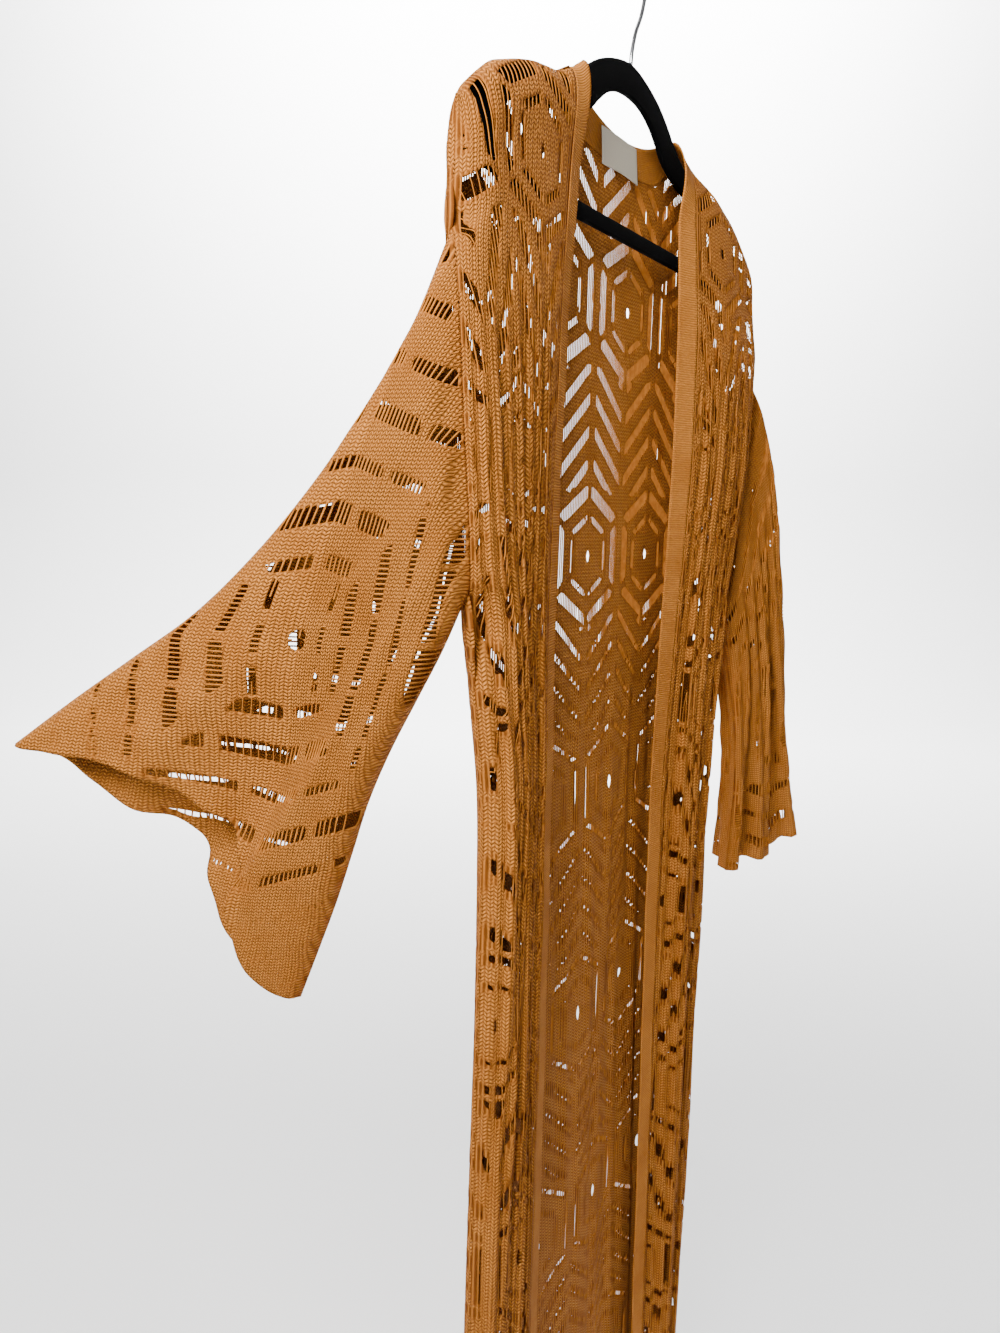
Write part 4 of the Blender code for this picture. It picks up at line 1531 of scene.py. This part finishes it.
@dataclass
class SleevePanel(LacePanel):
    """One layer of a wide sleeve."""

    shape: SleeveShape = field(default_factory=lambda: RIGHT_SLEEVE)
    shift: tuple[float, float] = (0.0, 0.0)
    spread: float = 1.0
    crease: float = 0.0
    medallion: tuple[float, float] = (88.0, -438.0)
    hanging_medallion: float = 260.0
    border: tuple[float, float] = (175.0, 200.0)
    corner_border: tuple[float, float] = (225.0, 250.0)

    def places(self, cloth: FineCloth) -> tuple[np.ndarray, np.ndarray, np.ndarray]:
        """Where each point lies in the lace, and how far the lace is open there.

        Args:
            cloth: The fine cloth.

        Returns:
            Millimetres across and down the lace, and 1 where it is open.
        """
        if self.shape.side is Side.RIGHT:
            y, z = cloth.middle[..., 1], cloth.middle[..., 2]
            rise = z - self.medallion[1]
            centre = self.medallion[0] - np.where(rise > 0, 0.385, 0.266) * rise
            s = y - centre
            s = np.where(s > 0, s / 1.9, s)
            plain = smoothstep(*self.border, -rise) + smoothstep(*self.corner_border, y)
            ease = 1.0 - np.clip(plain, 0.0, 1.0)
            return s + self.shift[0], self.shift[1] - rise, ease * self.spread
        s = (cloth.across - cloth.across.mean()) * 0.8
        t = cloth.down - self.hanging_medallion
        ease = 1.0 - smoothstep(*self.border, t)
        return s + self.shift[0], t + self.shift[1], ease * self.spread

    def ripple(self, cloth: FineCloth) -> np.ndarray:
        """Height of the small ridges that gathering leaves.

        Args:
            cloth: The fine cloth.

        Returns:
            Millimetres out from the surface.
        """
        s, t = cloth.across, cloth.down
        inside = smoothstep(0.0, 16.0, s) * smoothstep(0.0, 16.0, s.max() - s) * smoothstep(0.0, 30.0, t)
        small = 0.8 * np.sin(s / 9.0 + 1.5 * np.sin(t / 120.0)) + 0.5 * np.sin(t / 8.0 + s / 60.0)
        creases = self.crease * np.sin(s / 4.2 + 1.2 * np.sin(t / 95.0)) * smoothstep(40.0, 160.0, t)
        flutter = 2.2 * np.sin(s / 5.5 + np.sin(s / 23.0)) * smoothstep(-30.0, 0.0, t - t.max())
        return inside * (small + creases + flutter)


@dataclass
class PlainBand:
    """A plain ribbed band along a front edge or round the neck."""

    node: str
    coarse: Grid
    flat: tuple[float, float]
    rests_on: tuple[str, ...]
    cut_area: float
    cell: float = 2.6
    thickness: float = 1.3
    down_first: bool = True

    def build(self, knit: bpy.types.Material) -> bpy.types.Object:
        """Builds the band.

        Args:
            knit: The band's finish.

        Returns:
            The band.
        """
        cloth = FineCloth.from_grid(self.coarse, self.cell)
        edge = np.minimum(cloth.across - cloth.across.min(), cloth.across.max() - cloth.across)
        length = cloth.down
        if not self.down_first:
            edge = np.minimum(cloth.down - cloth.down.min(), cloth.down.max() - cloth.down)
            length = cloth.across
        rolled = 0.5 * np.sin(np.clip(edge / 6.0, 0, 1) * math.pi / 2) - 0.25
        cloth.lift(rolled + 0.25 * np.sin(length / 21.0))
        if not self.down_first:
            cloth.across, cloth.down = cloth.down, cloth.across
        whole = np.ones_like(cloth.across)
        band = add_mesh(self.node + "_cloth", cut_shell(cloth, whole, whole * 0.0, self.thickness), knit)
        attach(band, "root")
        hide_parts(self.node)
        log.info("%s: surface %.0f by %.0f mm, %.4f square metres, %.2f of it cloth", self.node,
                 *cloth.measure(whole))
        return band


@dataclass
class Cardigan:
    """The garment but its label: panels, bands and sleeves."""

    form: CardiganForm = field(default_factory=CardiganForm)
    knit: KnitFinish = field(default_factory=lambda: KnitFinish("ochre_knit"))
    body_knit: KnitFinish = field(default_factory=lambda: KnitFinish(
        "ochre_body_knit", stitch_width=4.4, stitch_height=3.0, slant=1.4, thread_pitch=2.9))
    band_knit: KnitFinish = field(default_factory=lambda: KnitFinish("ochre_band_knit", ribbed=True))
    yarn: YarnFinish = field(default_factory=lambda: YarnFinish("ochre_yarn"))

    def build(self) -> None:
        """Builds the garment's panels and bands."""
        knit, yarn, ribbed = self.knit.build(), self.yarn.build(), self.band_knit.build()
        body = self.body_knit.build()
        for panel in self.panels():
            panel.build(knit if panel.wales_follow_lace else body, yarn)
        for band in self.bands():
            band.build(ribbed)

    def panels(self) -> list[LacePanel]:
        """The lace panels, each with its faces turned outwards.

        Returns:
            The back, the two fronts and the sleeve layers.
        """
        form, lace = self.form, ChevronLace()
        leaves = ChevronLace(chevron_pitch=50.0, chevron_slope=1.8, ladder_share=0.24, spine_half=3.0,
                             thread_pitch=4.8)
        made: list[LacePanel] = [
            BackPanel("back", form.back(), lace, (0.55, 1.31), "hung",
                      ("hanger_form",), cell=4.1, cut_area=0.432, yarn_radius=0.00076),
            FrontPanel("front_right", form.front(Side.RIGHT)[:, ::-1], leaves, (0.155, 1.30), "hung",
                       ("hanger_form",), cell=2.7, cut_area=0.115, side=Side.RIGHT),
            FrontPanel("front_left", form.front(Side.LEFT), leaves, (0.17, 1.30), "hung",
                       ("hanger_form",), cell=2.7, cut_area=0.142, side=Side.LEFT),
        ]
        made[0].coarse = made[0].coarse[:, ::-1]
        rings = RingLace()
        for shape in (RIGHT_SLEEVE, LEFT_SLEEVE):
            for layer in Layer:
                grid = form.sleeve(shape, layer).transpose(1, 0, 2)
                front, held = layer is Layer.FRONT, shape.side is Side.RIGHT
                grid = grid if front == held else grid[:, ::-1]
                name = f"sleeve_{shape.side.name}_{layer.name}".lower()
                made.append(SleevePanel(
                    name, grid, rings, (0.37, 0.50), "hung", (), cell=3.5 if held else 4.2,
                    yarn_radius=0.00075, wales_follow_lace=True, shape=shape,
                    cut_area=0.0586 if front else 0.0692, shift=(0.0, 0.0) if front else (9.0, 17.0),
                    spread=0.95 if front else 0.42, crease=0.0 if held else 4.4,
                ))
        return made

    def bands(self) -> list[PlainBand]:
        """The plain bands.

        Returns:
            The two front bands and the neck band.
        """
        form = self.form
        return [
            PlainBand("band_right", form.band(Side.RIGHT)[:, ::-1], (0.024, 1.31), ("hanger_form",), 0.0273),
            PlainBand("band_left", form.band(Side.LEFT), (0.022, 1.31), ("hanger_form",), 0.0270),
            PlainBand("band_neck", form.neck_band()[:, ::-1], (0.235, 0.032), (), 0.0053, down_first=False),
        ]


@dataclass
class NeckLabel:
    """The bare woven label inside the back neck."""

    width: float = 60.0
    height: float = 28.0
    thickness: float = 0.7
    centre_x: float = 5.0
    top: float = -51.0
    bow: float = 0.0006
    lean: float = 1.2
    seam_y: float = 11.3
    columns: int = 41
    rows: int = 21

    def build(self, material: bpy.types.Material) -> bpy.types.Object:
        """Builds the label.

        Args:
            material: Its finish.

        Returns:
            The label.
        """
        across = np.linspace(-0.5, 0.5, self.columns)[None, :] * np.ones((self.rows, 1))
        down = np.linspace(0.0, 1.0, self.rows)[:, None] * np.ones((1, self.columns))
        curl = 1.1 * down**2 * np.sin(across * 5.0 + 0.6) + 0.5 * down**4 * np.cos(across * 9.0)
        x = self.centre_x + across * self.width
        z = self.top - self.bow * (across * self.width) ** 2 - down * self.height
        y = self.seam_y - self.lean * (1 + 2 * down) - 0.6 * curl
        middle = np.stack([x, y, z], -1)
        cloth = FineCloth(middle, surface_normals(middle), across * self.width, down * self.height)
        whole = np.ones_like(across)
        label = add_mesh("label_tape", cut_shell(cloth, whole, whole * 0.0, self.thickness), material)
        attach(label, "root")
        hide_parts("label")
        log.info("label: built")
        return label


@dataclass
class Hanger:
    """The flat flocked hanger with its bar, and its wire hook."""

    thickness: float = 5.0
    edge: float = 1.6
    outline_points: int = 220
    section_points: int = 14
    wire_radius: float = 1.6
    loop_radius: float = 21.6
    hook_rise: float = 82.0
    seat: float = -1.7

    def build(self, flock: bpy.types.Material, wire: bpy.types.Material) -> None:
        """Builds both pieces.

        Args:
            flock: The hanger's finish.
            wire: The hook's finish.
        """
        for name, data, material, slot, node in (
            ("hanger_form", self.body(), flock, "black_flock", "hanger"),
            ("hook_wire", self.hook(), wire, "chromed_wire", "hook"),
        ):
            piece = add_mesh(name, data, material)
            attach(piece, "root")
            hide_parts(node)
            log.info("%s: built", node)

    def outline(self, half: tuple) -> np.ndarray:
        """A smooth closed outline through half a table and its mirror image.

        Args:
            half: Points of one half, x and z.

        Returns:
            Points of the whole outline, x and z.
        """
        loop = list(half) + [(-x, z) for x, z in half[-2:0:-1]]
        points = [(x, 0.0, z) for x, z in [*loop, loop[0]]]
        shares = np.linspace(0, 1, self.outline_points, endpoint=False)
        knots = np.linspace(0, 1, len(points))
        closed = np.array(points[-3:-1] + points + points[1:3], float)
        step = knots[1]
        wide = np.concatenate([[-2 * step, -step], knots, [1 + step, 1 + 2 * step]])
        return refine(closed, wide, shares)[:, [0, 2]]

    def body(self) -> MeshData:
        """The hanger as one ring with rounded edges.

        Returns:
            The hanger's mesh.
        """
        outer, inner = self.outline(HANGER_OUTER), self.outline(HANGER_INNER)
        across = inner - outer
        width = np.linalg.norm(across, axis=1, keepdims=True)
        across = across / width
        half, edge = self.thickness / 2, self.edge
        section = []
        for start, sign in ((outer, 1.0), (inner, -1.0)):
            for angle in np.linspace(0, math.pi / 2, 4):
                inset = edge * (1 - math.cos(angle))
                section.append((start + sign * across * inset, -(half - edge) - edge * math.sin(angle)))
        lower = section[:4] + section[4:][::-1]
        ring = lower + [(loop, -y) for loop, y in lower[::-1]]
        points = np.array([(x, y, z) for loop, y in ring for x, z in loop])
        count, sides = self.outline_points, len(ring)
        faces = [
            [k * count + (i + 1) % count, k * count + i, (k + 1) % sides * count + i,
             (k + 1) % sides * count + (i + 1) % count]
            for k in range(sides) for i in range(count)
        ]
        return MeshData(points, faces, points[:, [0, 2]], np.zeros(len(points)))

    def hook(self) -> MeshData:
        """The wire: a leaning stem and its loop.

        Returns:
            The hook's mesh.
        """
        middle_z = self.hook_rise + self.wire_radius - self.loop_radius
        stem = smooth_path(
            [(0, 0, self.seat), (1, 0, 8), (6, 0, 24), (15, 0, 41), (self.loop_radius, 0, middle_z)],
            np.linspace(0, 1, 28),
        )
        angles = np.radians(np.arange(4, 211, 4))
        loop = np.stack([
            self.loop_radius * np.cos(angles), 0 * angles, middle_z + self.loop_radius * np.sin(angles)
        ], -1)
        path = np.vstack([stem, loop])
        step = np.gradient(path, axis=0)
        step /= np.linalg.norm(step, axis=1, keepdims=True)
        across = np.cross(step, (0.0, 1.0, 0.0))
        turn = np.linspace(0, 2 * math.pi, self.section_points, endpoint=False)
        sides = self.section_points
        radii = np.full(len(path), self.wire_radius)
        radii[-1] *= 0.5
        points = np.vstack([
            p + r * (np.cos(turn)[:, None] * n + np.sin(turn)[:, None] * np.array((0.0, 1.0, 0.0)))
            for p, n, r in zip(path, across, radii)
        ])
        faces = [
            [a + (k + 1) % sides, a + k, a + sides + k, a + sides + (k + 1) % sides]
            for a in range(0, (len(path) - 1) * sides, sides) for k in range(sides)
        ]
        faces.append(list(range(sides)))
        faces.append([(len(path) - 1) * sides + k for k in range(sides)][::-1])
        return MeshData(points, faces, points[:, [0, 2]], np.zeros(len(points)))


# Camera, light and floor


@dataclass(frozen=True)
class Studio:
    """A plain pale room with soft light and the photo's camera."""

    camera_place: tuple[float, float, float] = (-742.433, -384.979, -355.353)
    camera_turn: tuple[float, float, float] = (56.3143, -8.5060, -1.32644)
    lens: float = 26.567
    sensor: float = 36.0
    floor_z: float = -1.56
    wall_distance: float = 5.5
    bend: float = 1.4
    front_reach: float = 6.0
    half_width: float = 9.0
    wall_top: float = 5.0
    lamp_guide: tuple[float, float, float] = (0.02, 1.0, 0.3)
    world_strength: float = 0.17

    def build(self) -> None:
        """Builds the camera, lights, floor and world."""
        self.camera()
        self.backdrop()
        self.lights()

    def camera(self) -> None:
        """The camera at the photo's place and angle."""
        yaw, pitch, roll = (math.radians(a) for a in self.camera_turn)
        ahead = np.array([math.cos(pitch) * math.sin(yaw), math.cos(pitch) * math.cos(yaw), math.sin(pitch)])
        right = unit(np.cross(ahead, (0.0, 0.0, 1.0)))
        down = np.cross(ahead, right)
        c, s = math.cos(roll), math.sin(roll)
        right, down = c * right + s * down, -s * right + c * down
        data = bpy.data.cameras.new("camera")
        data.lens, data.sensor_width, data.clip_start, data.clip_end = self.lens, self.sensor, 0.01, 50.0
        camera = bpy.data.objects.new("camera", data)
        matrix = np.eye(4)
        matrix[:3, 0], matrix[:3, 1], matrix[:3, 2] = right, -down, -ahead
        matrix[:3, 3] = to_frame(np.array(self.camera_place))
        camera.matrix_world = matrix.T.tolist()
        bpy.context.scene.collection.objects.link(camera)
        bpy.context.scene.camera = camera

    def backdrop(self) -> None:
        """A pale floor that turns up into a wall behind the garment."""
        yaw = math.radians(self.camera_turn[0])
        ahead = np.array([math.sin(yaw), math.cos(yaw), 0.0])
        side = np.array([ahead[1], -ahead[0], 0.0])
        bend = self.bend
        profile = [(-self.front_reach, self.floor_z), (self.wall_distance - bend, self.floor_z)]
        profile += [
            (self.wall_distance - bend + bend * math.sin(a), self.floor_z + bend * (1 - math.cos(a)))
            for a in np.linspace(0.15, math.pi / 2, 12)
        ]
        profile.append((self.wall_distance, self.wall_top))
        wide = self.half_width
        points = [ahead * d + side * x + (0, 0, z) for d, z in profile for x in (-wide, wide)]
        faces = [[2 * i, 2 * i + 1, 2 * i + 3, 2 * i + 2] for i in range(len(profile) - 1)]
        mesh = bpy.data.meshes.new("backdrop")
        mesh.from_pydata([tuple(p) for p in points], [], faces)
        mesh.shade_smooth()
        shader = Shader("pale_backdrop")
        shader.surface.inputs["Base Color"].default_value = (0.94, 0.94, 0.94, 1.0)
        shader.surface.inputs["Roughness"].default_value = 0.9
        mesh.materials.append(shader.material)
        backdrop = bpy.data.objects.new("backdrop", mesh)
        bpy.context.scene.collection.objects.link(backdrop)

    def lights(self) -> None:
        """A key lamp at the left, lamps for the wall and from above, and a pale world."""
        for name, place, target, size, power in (
            ("key", (-1.12, -0.17, 0.27), (-0.22, 0.05, -0.25), 0.7, 52.0),
            ("wall", (3.2, 2.1, 3.4), (4.6, 3.1, 2.4), 4.0, 1500.0),
            ("ceiling", (2.0, 1.3, 4.6), (2.0, 1.3, 0.0), 4.0, 260.0),
        ):
            data = bpy.data.lights.new(name, "AREA")
            data.size, data.energy = size, power
            light = bpy.data.objects.new(name, data)
            back = unit(np.array(place) - np.array(target))
            right = unit(np.cross(self.lamp_guide, back))
            up = np.cross(back, right)
            matrix = np.eye(4)
            matrix[:3, 0], matrix[:3, 1], matrix[:3, 2], matrix[:3, 3] = right, up, back, place
            light.matrix_world = matrix.T.tolist()
            bpy.context.scene.collection.objects.link(light)
        world = bpy.data.worlds.new("pale_world")
        world.use_nodes = True
        world.node_tree.nodes["Background"].inputs["Color"].default_value = (1.0, 1.0, 1.0, 1.0)
        world.node_tree.nodes["Background"].inputs["Strength"].default_value = self.world_strength
        bpy.context.scene.world = world


def main() -> None:
    """Builds every piece in order."""
    Studio().build()
    Cardigan().build()
    NeckLabel().build(LabelFinish().build())
    Hanger().build(FlockFinish().build(), WireFinish().build())


if __name__ == "__main__":
    main()
